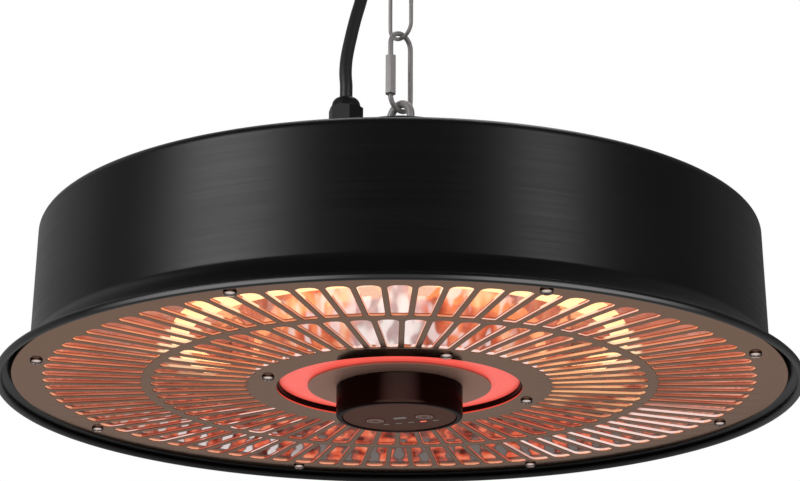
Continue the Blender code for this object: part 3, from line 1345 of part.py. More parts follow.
def tie_outline(clearance, head):
    """The tie's outline round the coil's bundle and the hook's shank."""
    reach = COIL_RADIUS + CORD / 2
    hollow = COIL_RADIUS - LAYER_TURNS * COIL_PITCH - CORD / 2
    outer_x = COIL_X + reach + clearance / 2
    inner_x = COIL_X + math.sqrt(hollow**2 - (TIE_WIDTH / 2) ** 2) - clearance
    side = COIL_HALF_DEPTH + CORD / 2 + clearance
    shank = arc((0.0, 0.0), HOOK_WIRE / 2 + clearance, -TIE_HALF_TURN, TIE_HALF_TURN, TIE_STEPS)
    lower = [(inner_x, -side)]
    if head:
        middle = (inner_x + outer_x) / 2
        low = -side - TIE_HEAD / 2
        lower += [(middle - TIE_HEAD, -side), (middle - TIE_HEAD, low), (middle, low), (middle, -side)]
    return [*lower, (outer_x, -side), *shank, (outer_x, side), (inner_x, side)]


def tie():
    """The strap that holds the coil to the hook's shank."""
    outlines = [tie_outline(GAP + TIE_THICKNESS, True), tie_outline(GAP, False)]
    return flat("cord_tie", outlines, -COIL_DROP - TIE_WIDTH / 2, -COIL_DROP + TIE_WIDTH / 2, BLACK_RUBBER)


def guide(name, height):
    """An empty on a joint's axis."""
    made = bpy.data.objects.new(name, None)
    PARTS.objects.link(made)
    made.location.z = height
    return made


def hang(pieces, parent):
    """Parent pieces to an empty without moving them."""
    bpy.context.view_layer.update()
    for piece in pieces:
        piece.parent = parent
        piece.matrix_parent_inverse = parent.matrix_world.inverted()


def build():
    """Make every piece and put it where it belongs."""
    ceiling_fitting()
    free, coil, tail = lead_stretches()
    tube("cord_coil", coil, CORD, BLACK_RUBBER, sides=1)
    tube("cord_tail", tail, CORD, BLACK_RUBBER)
    plug()
    tie()
    link, quick, sleeve = chain()
    heater = [*eye_bolt(), housing(), ledge(), *grille(), reflector(), *lamp(), *frame_inside()]
    heater += [*light_ring(), *hub(), *panel_pieces(), *hub_inside(), *stem(), *electrics(), *gland()]
    names = ("power_key", "mode_key")
    keys = [key(name, place) for name, place in zip(names, KEY_PLACES)]
    for piece in heater + keys:
        moved_with_cutters(piece, 0.0, 0.0, FACE_Z)
    heater.append(tube("mains_cord", free, CORD, BLACK_RUBBER))
    link_axis = guide("chain_link_axis", HOOK_WIRE_Z)
    quick_axis = guide("quick_link_axis", LINK_BOTTOM_Z)
    heater_axis = guide("heater_axis", QUICK_BOTTOM_Z)
    hang([link], link_axis)
    hang([quick, sleeve], quick_axis)
    hang(heater + keys, heater_axis)
    hang([quick_axis], link_axis)
    hang([heater_axis], quick_axis)
    for made in PARTS.objects:
        if made.type == "MESH":
            smooth(made.data)
    print("grille face", round(FACE_Z, 5), "key places", [on_panel(place) for place in KEY_PLACES])


build()
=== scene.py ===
"""Hanging patio heater: the dressed model on its frame, with its lamp lit, a plain studio and a camera.

Lengths are metres, +Z is up, and the origin is the middle of the ceiling plate's upper face. Sizes of what
hangs on the eye bolt are heights from the grille's lower face, and FACE lifts them into the object's frame.
"""

from __future__ import annotations

import json
import logging
import math
from dataclasses import dataclass, field
from enum import Enum
from typing import Iterable, Optional, Sequence, Union

import bmesh
import bpy
import numpy as np
from mathutils import Matrix, Vector

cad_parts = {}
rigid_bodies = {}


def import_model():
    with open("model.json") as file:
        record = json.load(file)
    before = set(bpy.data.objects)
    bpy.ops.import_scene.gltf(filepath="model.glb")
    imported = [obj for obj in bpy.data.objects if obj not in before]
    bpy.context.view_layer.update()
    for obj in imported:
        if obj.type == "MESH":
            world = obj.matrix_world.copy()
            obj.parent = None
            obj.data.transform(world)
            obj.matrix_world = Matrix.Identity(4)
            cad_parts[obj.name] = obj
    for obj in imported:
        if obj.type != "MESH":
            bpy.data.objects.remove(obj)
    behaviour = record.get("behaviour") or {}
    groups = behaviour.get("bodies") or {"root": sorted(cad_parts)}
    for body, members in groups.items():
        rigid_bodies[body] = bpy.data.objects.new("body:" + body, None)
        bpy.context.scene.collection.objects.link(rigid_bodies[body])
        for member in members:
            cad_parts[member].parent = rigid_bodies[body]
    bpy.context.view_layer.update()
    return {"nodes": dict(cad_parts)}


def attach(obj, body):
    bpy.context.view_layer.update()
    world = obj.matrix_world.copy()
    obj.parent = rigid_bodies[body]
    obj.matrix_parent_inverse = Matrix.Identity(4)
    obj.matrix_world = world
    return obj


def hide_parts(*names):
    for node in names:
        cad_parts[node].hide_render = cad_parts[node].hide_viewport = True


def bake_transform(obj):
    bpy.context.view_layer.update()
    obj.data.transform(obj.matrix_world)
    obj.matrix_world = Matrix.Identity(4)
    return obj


LOG = logging.getLogger("heater")

Array = np.ndarray
Point = tuple[float, float, float]
Colour = tuple[float, float, float]

FACE = -0.3558  # the grille's lower face in the object's frame
ORIGIN = (0.0, 0.0, 0.0)
LIFT = (0.0, 0.0, FACE)  # where heights from the grille's lower face start
UP = (0.0, 0.0, 1.0)
AHEAD = (0.0, 1.0, 0.0)
GAP = 0.0003  # the gap between neighbouring pieces
CREASE = 32.0  # degrees between two faces above which their edge stays sharp
BLACK = (0.0, 0.0, 0.0)
WHITE = (1.0, 1.0, 1.0)


class Body(Enum):
    """The bodies that pieces ride on."""

    CEILING = "ceiling_mount"
    CHAIN = "chain_link"
    QUICK = "quick_link"
    SLEEVE = "quick_link_sleeve"
    HEATER = "heater"
    POWER = "power_key"
    MODE = "mode_key"


class Look(Enum):
    """The finishes, each with the material slot of the record that it stands for."""

    PAINT = ("paint", "black_paint")
    COPPER = ("copper", "copper_mirror")
    DISC = ("disc", "copper_mirror")
    EDGE = ("edge", "copper_mirror")
    STEEL = ("steel", "bright_steel")
    CHROME = ("chrome", "bright_steel")
    ZINC = ("zinc", "galvanised_steel")
    REFLECTOR = ("reflector", "polished_aluminium")
    QUARTZ = ("quartz", "quartz")
    WIRE = ("wire", "hot_wire")
    CERAMIC = ("ceramic", "ceramic")
    DIFFUSER = ("diffuser", "red_diffuser")
    GLOSS = ("gloss", "black_gloss")
    PANEL = ("panel", "panel_brown")
    KEY = ("key", "panel_brown")
    LENS = ("lens", "dark_lens")
    LIT_LENS = ("lit_lens", "dark_lens")
    PLASTIC = ("plastic", "black_plastic")
    RUBBER = ("rubber", "black_rubber")
    BOARD = ("board", "circuit_board")
    WHITE = ("white", "white_plastic")


# Plane and space curves


def unit(vectors: Array) -> Array:
    """Vectors along the last axis, each scaled to length one."""
    return vectors / np.maximum(np.linalg.norm(vectors, axis=-1, keepdims=True), 1e-12)


def turns(steps: int) -> Array:
    """Angles evenly round a circle in radians, the first of them zero."""
    return np.linspace(0.0, 2.0 * math.pi, steps, endpoint=False)


def polar(radius: float, angle: Array, middle: Sequence[float] = (0.0, 0.0)) -> Array:
    """Points in a plane at a radius and at angles in radians: middle + (r cos a, r sin a)."""
    return np.asarray(middle) + radius * np.stack([np.cos(angle), np.sin(angle)], axis=-1)


def arc(middle: Sequence[float], radius: float, start: float, end: float, steps: int) -> Array:
    """Points along an arc in a plane between two angles in degrees, steps + 1 by 2."""
    return polar(radius, np.radians(np.linspace(start, end, steps + 1)), middle)


def circle(radius: float, steps: int, middle: Sequence[float] = (0.0, 0.0)) -> Array:
    """Points round a circle, steps by 2."""
    return polar(radius, turns(steps), middle)


def eased(
    outline: Sequence, reach: Union[float, Sequence[float]], steps: int = 4, closed: bool = True
) -> Array:
    """Ease an outline's corners.

    Each corner p between its neighbours becomes the quadratic curve (1-t)^2 a + 2t(1-t) p + t^2 b, where a
    and b lie on the two edges at the reach from p.

    Args:
        outline: the corners, n by 2.
        reach: the length taken from each edge, one for all corners or one for each.
        steps: steps in a corner's curve.
        closed: whether the last corner joins the first.

    Returns:
        The eased outline.
    """
    points = np.asarray(outline, dtype=float)
    reaches = np.broadcast_to(np.asarray(reach, dtype=float), (len(points),))
    ends = []
    for shift in (1, -1):
        edge = np.roll(points, shift, axis=0) - points
        length = np.linalg.norm(edge, axis=1, keepdims=True)
        ends.append(points + unit(edge) * np.minimum(reaches[:, None], 0.45 * length))
    t = np.linspace(0.0, 1.0, steps + 1)[None, :, None]
    curve = (1 - t) ** 2 * ends[0][:, None] + 2 * t * (1 - t) * points[:, None] + t**2 * ends[1][:, None]
    if not closed:
        curve[0] = points[0]
        curve[-1] = points[-1]
    flat = curve.reshape(-1, 2)
    kept = np.linalg.norm(flat - np.roll(flat, 1, axis=0), axis=1) > 1e-9
    kept[0] = kept[0] or not closed
    return flat[kept]


def beside(outline: Array, distance: float, closed: bool = True) -> Array:
    """Shift an outline sideways.

    Args:
        outline: the points, n by 2.
        distance: how far, to the right of the way it runs.
        closed: whether the last point joins the first.

    Returns:
        The shifted points.
    """
    if closed:
        along = np.roll(outline, -1, axis=-2) - np.roll(outline, 1, axis=-2)
    else:
        along = np.gradient(outline, axis=-2)
    along = unit(along)
    return outline + distance * np.stack([along[..., 1], -along[..., 0]], axis=-1)


def upright(points: Array, turn: float) -> Array:
    """A plane outline, aside and up, stood on the upright plane at an angle about Z, in radians."""
    aside, height = np.asarray(points).T
    return np.stack([aside * math.cos(turn), aside * math.sin(turn), height], axis=-1)


def stadium(top: float, bottom: float, width: float, steps: int) -> Array:
    """A long link's middle line: two half circles and two straight legs.

    Args:
        top: its highest point.
        bottom: its lowest point.
        width: its width.
        steps: steps in each half circle and in each leg.

    Returns:
        The points aside and up.
    """
    half = width / 2
    over = arc((0.0, top - half), half, 180, 0, steps)
    under = arc((0.0, bottom + half), half, 0, -180, steps)
    share = np.linspace(0.0, 1.0, steps, endpoint=False)[1:, None]
    right = over[-1] + (under[0] - over[-1]) * share
    left = under[-1] + (over[0] - under[-1]) * share
    return np.concatenate([over, right, under, left])


def smooth_route(knots: Sequence[Sequence[float]], steps: int = 24) -> Array:
    """A smooth curve through a route.

    The first and last legs are straight. Between them the curve through knots a, b, c, d is
    b + ((c-a) t + (2a-5b+4c-d) t^2 + (3b-a-3c+d) t^3) / 2, with t from 0 at b to 1 at c.

    Args:
        knots: the route's points, n by 3.
        steps: steps between two knots.

    Returns:
        The curve's points.
    """
    p = np.asarray(knots, dtype=float)
    a, b, c, d = (p[i : len(p) - 3 + i, None] for i in range(4))
    t = np.linspace(0.0, 1.0, steps, endpoint=False)[None, :, None]
    curve = b + ((c - a) * t + (2 * a - 5 * b + 4 * c - d) * t**2 + (3 * b - a - 3 * c + d) * t**3) / 2
    first = p[0] + (p[1] - p[0]) * np.linspace(0.0, 1.0, 5, endpoint=False)[:, None]
    last = p[-2] + (p[-1] - p[-2]) * np.linspace(0.0, 1.0, 3)[:, None]
    return np.concatenate([first, curve.reshape(-1, 3), last])


def spaced(path: Array, step: float) -> Array:
    """A line's points, placed anew at even steps.

    Args:
        path: the line's points, n by 3.
        step: the wanted step.

    Returns:
        The new points.
    """
    along = np.concatenate([[0.0], np.cumsum(np.linalg.norm(np.diff(path, axis=0), axis=1))])
    wanted = np.linspace(0.0, along[-1], max(3, round(along[-1] / step) + 1))
    return np.stack([np.interp(wanted, along, path[:, k]) for k in range(3)], axis=-1)


def length_of(path: Array) -> float:
    """A line's length in metres."""
    return float(np.linalg.norm(np.diff(path, axis=0), axis=1).sum())


def rounded_box(size: Sequence[float], corner: float, middle: Sequence[float], turn: float = 0.0) -> Array:
    """A rectangle with eased corners.

    Args:
        size: its width and depth.
        corner: how much of each edge a corner takes.
        middle: where its middle is.
        turn: its angle in radians.

    Returns:
        Its outline.
    """
    corners = np.array([(-1, -1), (1, -1), (1, 1), (-1, 1)]) * np.asarray(size) / 2
    spin = np.array([(math.cos(turn), -math.sin(turn)), (math.sin(turn), math.cos(turn))])
    return eased(corners, corner) @ spin.T + np.asarray(middle)


# Meshes


def placed(name: str, data: bpy.types.ID) -> bpy.types.Object:
    """Put data into the scene.

    Args:
        name: the object's name.
        data: its mesh, curve, camera or light.

    Returns:
        The new object.
    """
    made = bpy.data.objects.new(name, data)
    bpy.context.scene.collection.objects.link(made)
    return made


def settled(made: bpy.types.Object) -> bpy.types.Mesh:
    """A new mesh of an object as its curve or its modifiers leave it."""
    bpy.context.view_layer.update()
    return bpy.data.meshes.new_from_object(made.evaluated_get(bpy.context.evaluated_depsgraph_get()))


def finished(name: str, mesh: bpy.types.Mesh, crease: float = CREASE) -> bpy.types.Object:
    """Weld a mesh, turn its faces outwards, shade it with its broad faces flat and put it in the scene.

    Args:
        name: the piece's name.
        mesh: its mesh.
        crease: the angle in degrees above which an edge stays sharp.

    Returns:
        The new object.
    """
    shape = bmesh.new()
    shape.from_mesh(mesh)
    bmesh.ops.remove_doubles(shape, verts=shape.verts, dist=1e-7)
    bmesh.ops.recalc_face_normals(shape, faces=shape.faces)
    shape.to_mesh(mesh)
    shape.free()
    mesh.shade_smooth()
    mesh.set_sharp_from_angle(angle=math.radians(crease))
    made = placed(name, mesh)
    weights = made.modifiers.new("weights", "WEIGHTED_NORMAL")
    weights.keep_sharp = True
    weights.weight = 80
    made.data = settled(made)
    made.data.name = name
    made.modifiers.clear()
    bpy.data.meshes.remove(mesh)
    return made


def surface(
    name: str, grid: Array, wrap: tuple[bool, bool] = (False, True), crease: float = CREASE
) -> bpy.types.Object:
    """A mesh of four-sided faces over a grid of points, or over several grids of one size.

    Args:
        name: the piece's name.
        grid: rows by columns by 3, or count by rows by columns by 3.
        wrap: whether the last row joins the first, and the last column the first.
        crease: the angle in degrees above which an edge stays sharp.

    Returns:
        The new object.
    """
    grids = grid if grid.ndim == 4 else grid[None]
    count, rows, columns, _ = grids.shape
    start = (np.arange(count) * rows * columns)[:, None, None]
    i = np.arange(rows if wrap[0] else rows - 1)[None, :, None]
    j = np.arange(columns if wrap[1] else columns - 1)[None, None, :]
    below, beyond = (i + 1) % rows, (j + 1) % columns
    corners = [i * columns + j, below * columns + j, below * columns + beyond, i * columns + beyond]
    faces = np.stack([start + corner for corner in corners], axis=-1).reshape(-1, 4)
    mesh = bpy.data.meshes.new(name)
    mesh.vertices.add(grids.size // 3)
    mesh.vertices.foreach_set("co", np.ascontiguousarray(grids, dtype=np.float32).ravel())
    mesh.loops.add(faces.size)
    mesh.loops.foreach_set("vertex_index", np.ascontiguousarray(faces, dtype=np.int32).ravel())
    mesh.polygons.add(len(faces))
    mesh.polygons.foreach_set("loop_start", np.arange(0, faces.size, 4, dtype=np.int32))
    mesh.update(calc_edges=True)
    return finished(name, mesh, crease)


def ovals(across: Array, along: Array, height: Array, angle: Array, at: Point) -> Array:
    """A grid of level ovals: the point (x + across cos a, y + along sin a, z + height) of each row and angle.

    Args:
        across: the ovals' half widths, rows by one or by columns.
        along: their half depths, the same.
        height: their heights.
        angle: the angles in radians.
        at: where their axis and their heights start.

    Returns:
        The grid, rows by columns by 3.
    """
    x = at[0] + across * np.cos(angle)
    y = at[1] + along * np.sin(angle)
    return np.stack([x, y, at[2] + np.broadcast_to(height[:, None], x.shape)], axis=-1)


def lathe(
    name: str,
    outline: Sequence,
    steps: int = 96,
    closed: bool = True,
    at: Point = ORIGIN,
    crease: float = CREASE,
) -> bpy.types.Object:
    """A shape turned about an upright axis: the point (radius, height) goes to (r cos a, r sin a, height).

    Args:
        name: the piece's name.
        outline: its section in radius and height, n by 2. An open one starts and ends on the axis.
        steps: steps round the axis.
        closed: whether the section's last point joins its first.
        at: where the section's origin stands.
        crease: the angle in degrees above which an edge stays sharp.

    Returns:
        The new object.
    """
    radius, height = np.asarray(outline, dtype=float).T
    grid = ovals(radius[:, None], radius[:, None], height, turns(steps), at)
    return surface(name, grid, (closed, True), crease)


def swept(
    path: Array, section: Array, side: Point, scale: Union[float, Array] = 1.0, closed: bool = False
) -> Array:
    """Carry a section along a path: each point is path + scale (u across + v up).

    The section's u axis is square to the path and to the side vector, and its v axis is square to both.

    Args:
        path: the middle line, n by 3.
        section: the section's points, m by 2.
        side: a vector that the path never runs along.
        scale: the section's size at each point of the path.
        closed: whether the path's last point joins its first.

    Returns:
        The grid, n by m by 3.
    """
    along = np.roll(path, -1, axis=0) - np.roll(path, 1, axis=0) if closed else np.gradient(path, axis=0)
    along = unit(along)
    across = unit(np.cross(along, np.asarray(side, dtype=float)))
    up = np.cross(across, along)
    sizes = np.broadcast_to(np.asarray(scale, dtype=float), (len(path),))[:, None, None]
    spread = section[None, :, :1] * across[:, None] + section[None, :, 1:] * up[:, None]
    return path[:, None] + sizes * spread


def capped(grid: Array) -> Array:
    """Close a swept grid's two ends.

    Args:
        grid: rows by columns by 3.

    Returns:
        The grid with a middle point and a smaller ring before its first and after its last row.
    """
    caps = []
    for row in (grid[0], grid[-1]):
        middle = row.mean(axis=0)
        caps.append(np.stack([np.broadcast_to(middle, row.shape), middle + 0.92 * (row - middle)]))
    return np.concatenate([caps[0], grid, caps[1][::-1]])


def wire(
    name: str,
    route: Array,
    turn: float,
    diameter: float,
    sides: int = 24,
    step: Optional[float] = None,
    swell: Union[float, Array] = 1.0,
) -> bpy.types.Object:
    """A round wire bent in an upright plane: a closed loop, or an open wire whose ends are half balls.

    Args:
        name: the piece's name.
        route: the middle line, aside and up.
        turn: the plane's angle about Z, in radians.
        diameter: the wire's diameter.
        sides: sides of its section.
        step: the step between an open wire's rings, or None for a closed loop.
        swell: a factor on a loop's diameter at each point.

    Returns:
        The new object.
    """
    path = upright(route, turn)
    section = circle(diameter / 2, sides)
    side = (-math.sin(turn), math.cos(turn), 0.0)
    if step is None:
        return surface(name, swept(path, section, side, swell, True), (True, True))
    path = spaced(path, step)
    rounding = np.radians([90, 66, 44, 22])
    reach = np.append(1 - np.sin(rounding), 1.0)[:, None] * diameter / 2
    first = path[0] + reach * unit(path[1] - path[0])
    last = path[-1] + reach * unit(path[-2] - path[-1])
    whole = np.concatenate([first, path[1:-1], last[::-1]])
    sizes = np.concatenate([np.cos(rounding), np.ones(len(path)), np.cos(rounding)[::-1]])
    return surface(name, swept(whole, section, side, sizes), crease=60.0)


def hexagon(
    name: str, flats: float, low: float, high: float, bore: float, turn: float, at: Point
) -> bpy.types.Object:
    """A hexagonal nut or sleeve whose corners are turned off at both ends.

    At angle a the radius is the smaller of the hexagon's, flats / 2 / cos(a mod 60 - 30 degrees), and the
    cone's, which grows from just inside the flats by the slope times the distance from the end.

    Args:
        name: the piece's name.
        flats: the width over two flats.
        low: its lower end.
        high: its upper end.
        bore: its bore's radius.
        turn: the angle of a corner, in radians.
        at: where its axis and its heights start.

    Returns:
        The new object.
    """
    start, slope = 0.49 * flats, 1.73
    angle = turns(72)
    side = flats / 2 / np.cos(angle % (math.pi / 3) - math.pi / 6)
    depth = np.linspace(0.0, (flats / math.sqrt(3) - start) / slope, 6)
    outer = np.minimum(side, start + slope * depth[:, None])
    radius = np.concatenate([outer, outer[::-1], np.full((2, len(angle)), bore)])
    height = np.concatenate([low + depth, high - depth[::-1], [high, low]])
    return surface(name, ovals(radius, radius, height, angle + turn, at), (True, True), 24.0)


def threaded(name: str, radius: float, low: float, high: float, pitch: float, at: Point) -> bpy.types.Object:
    """An upright threaded rod: its radius is r + d (|2 (h / pitch - a / 2 pi mod 1) - 1| - 1/2).

    Args:
        name: the piece's name.
        radius: the thread's middle radius.
        low: its lower end.
        high: its upper end.
        pitch: the thread's pitch.
        at: where its axis and its heights start.

    Returns:
        The new object.
    """
    depth = 0.55 * pitch
    angle = turns(24)
    height = np.arange(low, high, pitch / 8)
    wave = abs(2 * ((height[:, None] / pitch - angle / (2 * math.pi)) % 1.0) - 1) - 0.5
    radii = radius + depth * wave
    return surface(name, capped(ovals(radii, radii, height, angle, at)))


def slab(
    name: str, outlines: Iterable[Array], low: float, high: float, edge: float, crease: float = 40.0
) -> bpy.types.Object:
    """A flat piece with rounded edges between two heights.

    Args:
        name: the piece's name.
        outlines: its edge and then its holes, each n by 2.
        low: its lower face.
        high: its upper face.
        edge: the radius of its edges.
        crease: the angle in degrees above which an edge stays sharp.

    Returns:
        The new object.
    """
    curve = bpy.data.curves.new(name, "CURVE")
    curve.dimensions = "2D"
    curve.fill_mode = "BOTH"
    curve.extrude = (high - low) / 2 - edge
    curve.bevel_depth = edge
    curve.bevel_resolution = 2
    curve.offset = -edge
    for outline in outlines:
        spline = curve.splines.new("POLY")
        spline.points.add(len(outline) - 1)
        rows = np.column_stack([outline, np.zeros(len(outline)), np.ones(len(outline))])
        spline.points.foreach_set("co", rows.ravel())
        spline.use_cyclic_u = True
    holder = placed(f"{name}_curve", curve)
    mesh = settled(holder)
    bpy.data.objects.remove(holder, do_unlink=True)
    mesh.materials.clear()
    mesh.name = name
    mesh.transform(Matrix.Translation((0.0, 0.0, (low + high) / 2)))
    return finished(name, mesh, crease)


def merged(name: str, pieces: Sequence[bpy.types.Object]) -> bpy.types.Object:
    """Several pieces made one, each part keeping its own edges.

    Args:
        name: the new piece's name.
        pieces: the pieces, which are used up.

    Returns:
        The new object.
    """
    whole = pieces[0]
    with bpy.context.temp_override(
        active_object=whole, object=whole, selected_objects=pieces, selected_editable_objects=pieces
    ):
        bpy.ops.object.join()
    whole.name = name
    whole.data.name = name
    return whole


# Shading


class Value:
    """A shader's value, with arithmetic that adds maths nodes."""

    def __init__(self, shading: Shading, socket: bpy.types.NodeSocket) -> None:
        """Hold an output socket of a material's shading."""
        self.shading = shading
        self.socket = socket

    def __add__(self, other: Number) -> Value:
        """The sum."""
        return self.shading.maths("ADD", self, other)

    __radd__ = __add__

    def __sub__(self, other: Number) -> Value:
        """The difference."""
        return self.shading.maths("SUBTRACT", self, other)

    def __rsub__(self, other: Number) -> Value:
        """The difference from a number."""
        return self.shading.maths("SUBTRACT", other, self)

    def __mul__(self, other: Number) -> Value:
        """The product."""
        return self.shading.maths("MULTIPLY", self, other)

    __rmul__ = __mul__

    def __truediv__(self, other: Number) -> Value:
        """The ratio."""
        return self.shading.maths("DIVIDE", self, other)

    def __rtruediv__(self, other: Number) -> Value:
        """The ratio of a number to it."""
        return self.shading.maths("DIVIDE", other, self)

    def __pow__(self, other: Number) -> Value:
        """The power."""
        return self.shading.maths("POWER", self, other)

    def __rpow__(self, other: Number) -> Value:
        """A number to its power."""
        return self.shading.maths("POWER", other, self)

    def __neg__(self) -> Value:
        """The value with its sign turned."""
        return 0.0 - self

    def __abs__(self) -> Value:
        """The value without its sign."""
        return self.shading.maths("ABSOLUTE", self)

    def clamped(self) -> Value:
        """The value kept between zero and one."""
        return self.shading.node("ShaderNodeClamp", {}, {0: self})


Number = Union[Value, float]


class Shading:
    """One material's node tree, with a method for any node."""

    def __init__(self, name: str) -> None:
        """Make the material.

        Args:
            name: its name.
        """
        self.material = bpy.data.materials.new(name)
        self.material.use_nodes = True
        self.tree = self.material.node_tree
        self.shader = self.tree.nodes["Principled BSDF"]

    def node(self, kind: str, settings: dict, inputs: dict, output: int = 0) -> Value:
        """Add a node.

        Args:
            kind: the node's type.
            settings: its settings, which are made first.
            inputs: what its sockets take, by name or number.
            output: which of its outputs is wanted.

        Returns:
            That output.
        """
        made = self.tree.nodes.new(kind)
        for key, value in settings.items():
            setattr(made, key, value)
        for key, value in inputs.items():
            self.feed(made.inputs[key], value)
        return Value(self, made.outputs[output])

    def feed(self, socket: bpy.types.NodeSocket, value: object) -> None:
        """Give a socket a value or a link.

        Args:
            socket: the input.
            value: a Value, a number or a colour.
        """
        if isinstance(value, Value):
            self.tree.links.new(value.socket, socket)
        elif isinstance(value, tuple) and len(value) == 3 and socket.type == "RGBA":
            socket.default_value = (*value, 1.0)
        else:
            socket.default_value = value

    def maths(self, operation: str, *operands: Number) -> Value:
        """A maths node on its operands in order."""
        return self.node("ShaderNodeMath", {"operation": operation}, dict(enumerate(operands)))

    def where(self) -> Value:
        """The point's place in the object's frame, as a vector."""
        return self.node("ShaderNodeTexCoord", {}, {}, 3)

    def place(self) -> tuple[Value, Value, Value, Value]:
        """The point's place in the object's frame.

        Returns:
            X, Y, Z and the distance from the Z axis, in metres.
        """
        where = self.where()
        x, y, z = (self.node("ShaderNodeSeparateXYZ", {}, {0: where}, k) for k in range(3))
        return x, y, z, (x * x + y * y) ** 0.5

    def noise(self, scale: Point, detail: float = 3.0, roughness: float = 0.55) -> Value:
        """Smooth noise in the object's frame, stretched where a scale is small.

        Args:
            scale: cells a metre along X, Y and Z.
            detail: how many finer layers it has.
            roughness: how strong they are.

        Returns:
            The noise, about 0.5 in the middle.
        """
        spread = self.node("ShaderNodeMapping", {}, {"Vector": self.where(), "Scale": scale})
        inputs = {"Vector": spread, "Scale": 1.0, "Detail": detail, "Roughness": roughness}
        return self.node("ShaderNodeTexNoise", {}, inputs)

    def noise_over(self, numbers: Sequence[Number], scale: float = 1.0, detail: float = 1.0) -> Value:
        """Smooth noise over two or three numbers."""
        vector = self.node("ShaderNodeCombineXYZ", {}, dict(enumerate(numbers)))
        return self.node("ShaderNodeTexNoise", {}, {"Vector": vector, "Scale": scale, "Detail": detail})

    def blend(self, share: Number, first: object, second: object) -> Value:
        """The mix of two colours that has the share of the second."""
        return self.node("ShaderNodeMix", {"data_type": "RGBA"}, {0: share, 6: first, 7: second}, 2)

    def step(self, value: Value, low: float, high: float) -> Value:
        """A smooth step: zero where the value is at low, one where it is at high, and flat beyond them."""
        inputs = {"Value": value, "From Min": low, "From Max": high}
        return self.node("ShaderNodeMapRange", {"interpolation_type": "SMOOTHSTEP"}, inputs)

    def mark(self, centre: Sequence[float], radius: float, width: float) -> Value:
        """A thin ring in the XY plane.

        Args:
            centre: the ring's centre.
            radius: its radius.
            width: its width.

        Returns:
            One on the ring and zero away from it.
        """
        x, y, _, _ = self.place()
        distance = ((x - centre[0]) ** 2.0 + (y - centre[1]) ** 2.0) ** 0.5
        return 1.0 - self.step(abs(distance - radius), width / 3, width / 2)

    def set(self, **inputs: object) -> None:
        """Feed the surface shader's sockets, each named with its spaces as underscores."""
        for key, value in inputs.items():
            self.feed(self.shader.inputs[key.replace("_", " ")], value)

    def bump(self, height: Value, strength: float, distance: float) -> None:
        """Raise the surface by a height, a height of one standing for the distance in metres."""
        inputs = {"Strength": strength, "Distance": distance, "Height": height}
        self.set(Normal=self.node("ShaderNodeBump", {}, inputs))

    def glow(self, share: Number, light: Colour, strength: float = 1.0) -> None:
        """Let the surface send out a share of the light."""
        self.set(Emission_Color=self.blend(share, BLACK, light), Emission_Strength=strength)


def scaled(colour: Colour, factor: float) -> Colour:
    """A colour made darker or lighter, with no channel over one."""
    return tuple(min(1.0, channel * factor) for channel in colour)


@dataclass(frozen=True)
class Finish:
    """A plain finish: colour, roughness, and fine grain that varies both.

    Attributes:
        colour: the base colour.
        roughness: the mean roughness.
        metallic: one for a metal.
        grain: the grain's cells a metre along X, Y and Z.
        vary: how far the grain changes roughness and brightness.
        relief: the grain's height in metres.
        gloss: the strength of its sheen, half for plain plastic or paint.
        tint: the colour of a metal's sheen at a flat angle.
    """

    colour: Colour
    roughness: float
    metallic: float = 0.0
    grain: Point = (900.0, 900.0, 900.0)
    vary: float = 0.15
    relief: float = 0.00002
    gloss: float = 0.5
    tint: Colour = WHITE

    def material(self, name: str) -> bpy.types.Material:
        """Make the material.

        Args:
            name: its name.

        Returns:
            The new material.
        """
        shading = Shading(name)
        shading.set(Metallic=self.metallic, Specular_IOR_Level=self.gloss, Specular_Tint=self.tint)
        grain = shading.noise(self.grain)
        dark, light = (scaled(self.colour, 1 + change) for change in (-self.vary, self.vary))
        shading.set(Base_Color=shading.blend(grain, dark, light))
        shading.set(Roughness=(grain - 0.5) * (2 * self.vary * self.roughness) + self.roughness)
        shading.bump(grain, 0.6, self.relief)
        self.detail(shading, grain)
        return shading.material

    def detail(self, shading: Shading, grain: Value) -> None:
        """Add what a finish has beyond its grain, which a plain one hasn't."""


@dataclass(frozen=True)
class Paint(Finish):
    """Satin paint on sheet metal, a little uneven, with a painted highlight along the rolled edge on its near
    side.

    Attributes:
        streak: the streaks' depth.
        painted_gleam: the painted highlight's colour.
        edge: the rolled edge's radius, and the painted highlight's height below the grille's face and half
            its width.
        fade: how far the painted highlight fades above and below.
    """

    streak: float = 0.00009
    painted_gleam: Colour = (0.16, 0.155, 0.155)
    edge: Point = (0.2108, 0.0029, 0.0004)
    fade: float = 0.0005

    def detail(self, shading: Shading, grain: Value) -> None:
        """Add the streaks, broad uneven patches and the painted highlight.

        Args:
            shading: the material's shading.
            grain: its grain.
        """
        streaks = shading.noise((7.0, 7.0, 620.0), 4.0, 0.6)
        patches = shading.noise((9.0, 9.0, 26.0), 2.0)
        share = (streaks * 0.65 + patches * 0.35).clamped()
        shading.set(Base_Color=shading.blend(share, scaled(self.colour, 0.7), scaled(self.colour, 1.5)))
        shading.set(Roughness=self.roughness + (share - 0.5) * 0.22)
        shading.bump(streaks * 0.8 + grain * 0.2, 0.35, self.streak)
        # painted highlight: a thin line of emission along the rolled edge's near side, in place of a lamp's
        # reflection
        x, y, z, radius = shading.place()
        rim, below, half = self.edge
        line = 1.0 - shading.step(abs(z - (FACE - below)), half, half + self.fade)
        line = line * shading.step(radius, rim, rim + half) * shading.step(-(y / radius), 0.70, 0.90)
        line = line * (shading.step(abs(x) / radius, 0.04, 0.25) * 0.85 + 0.15)
        shading.glow(line, self.painted_gleam)


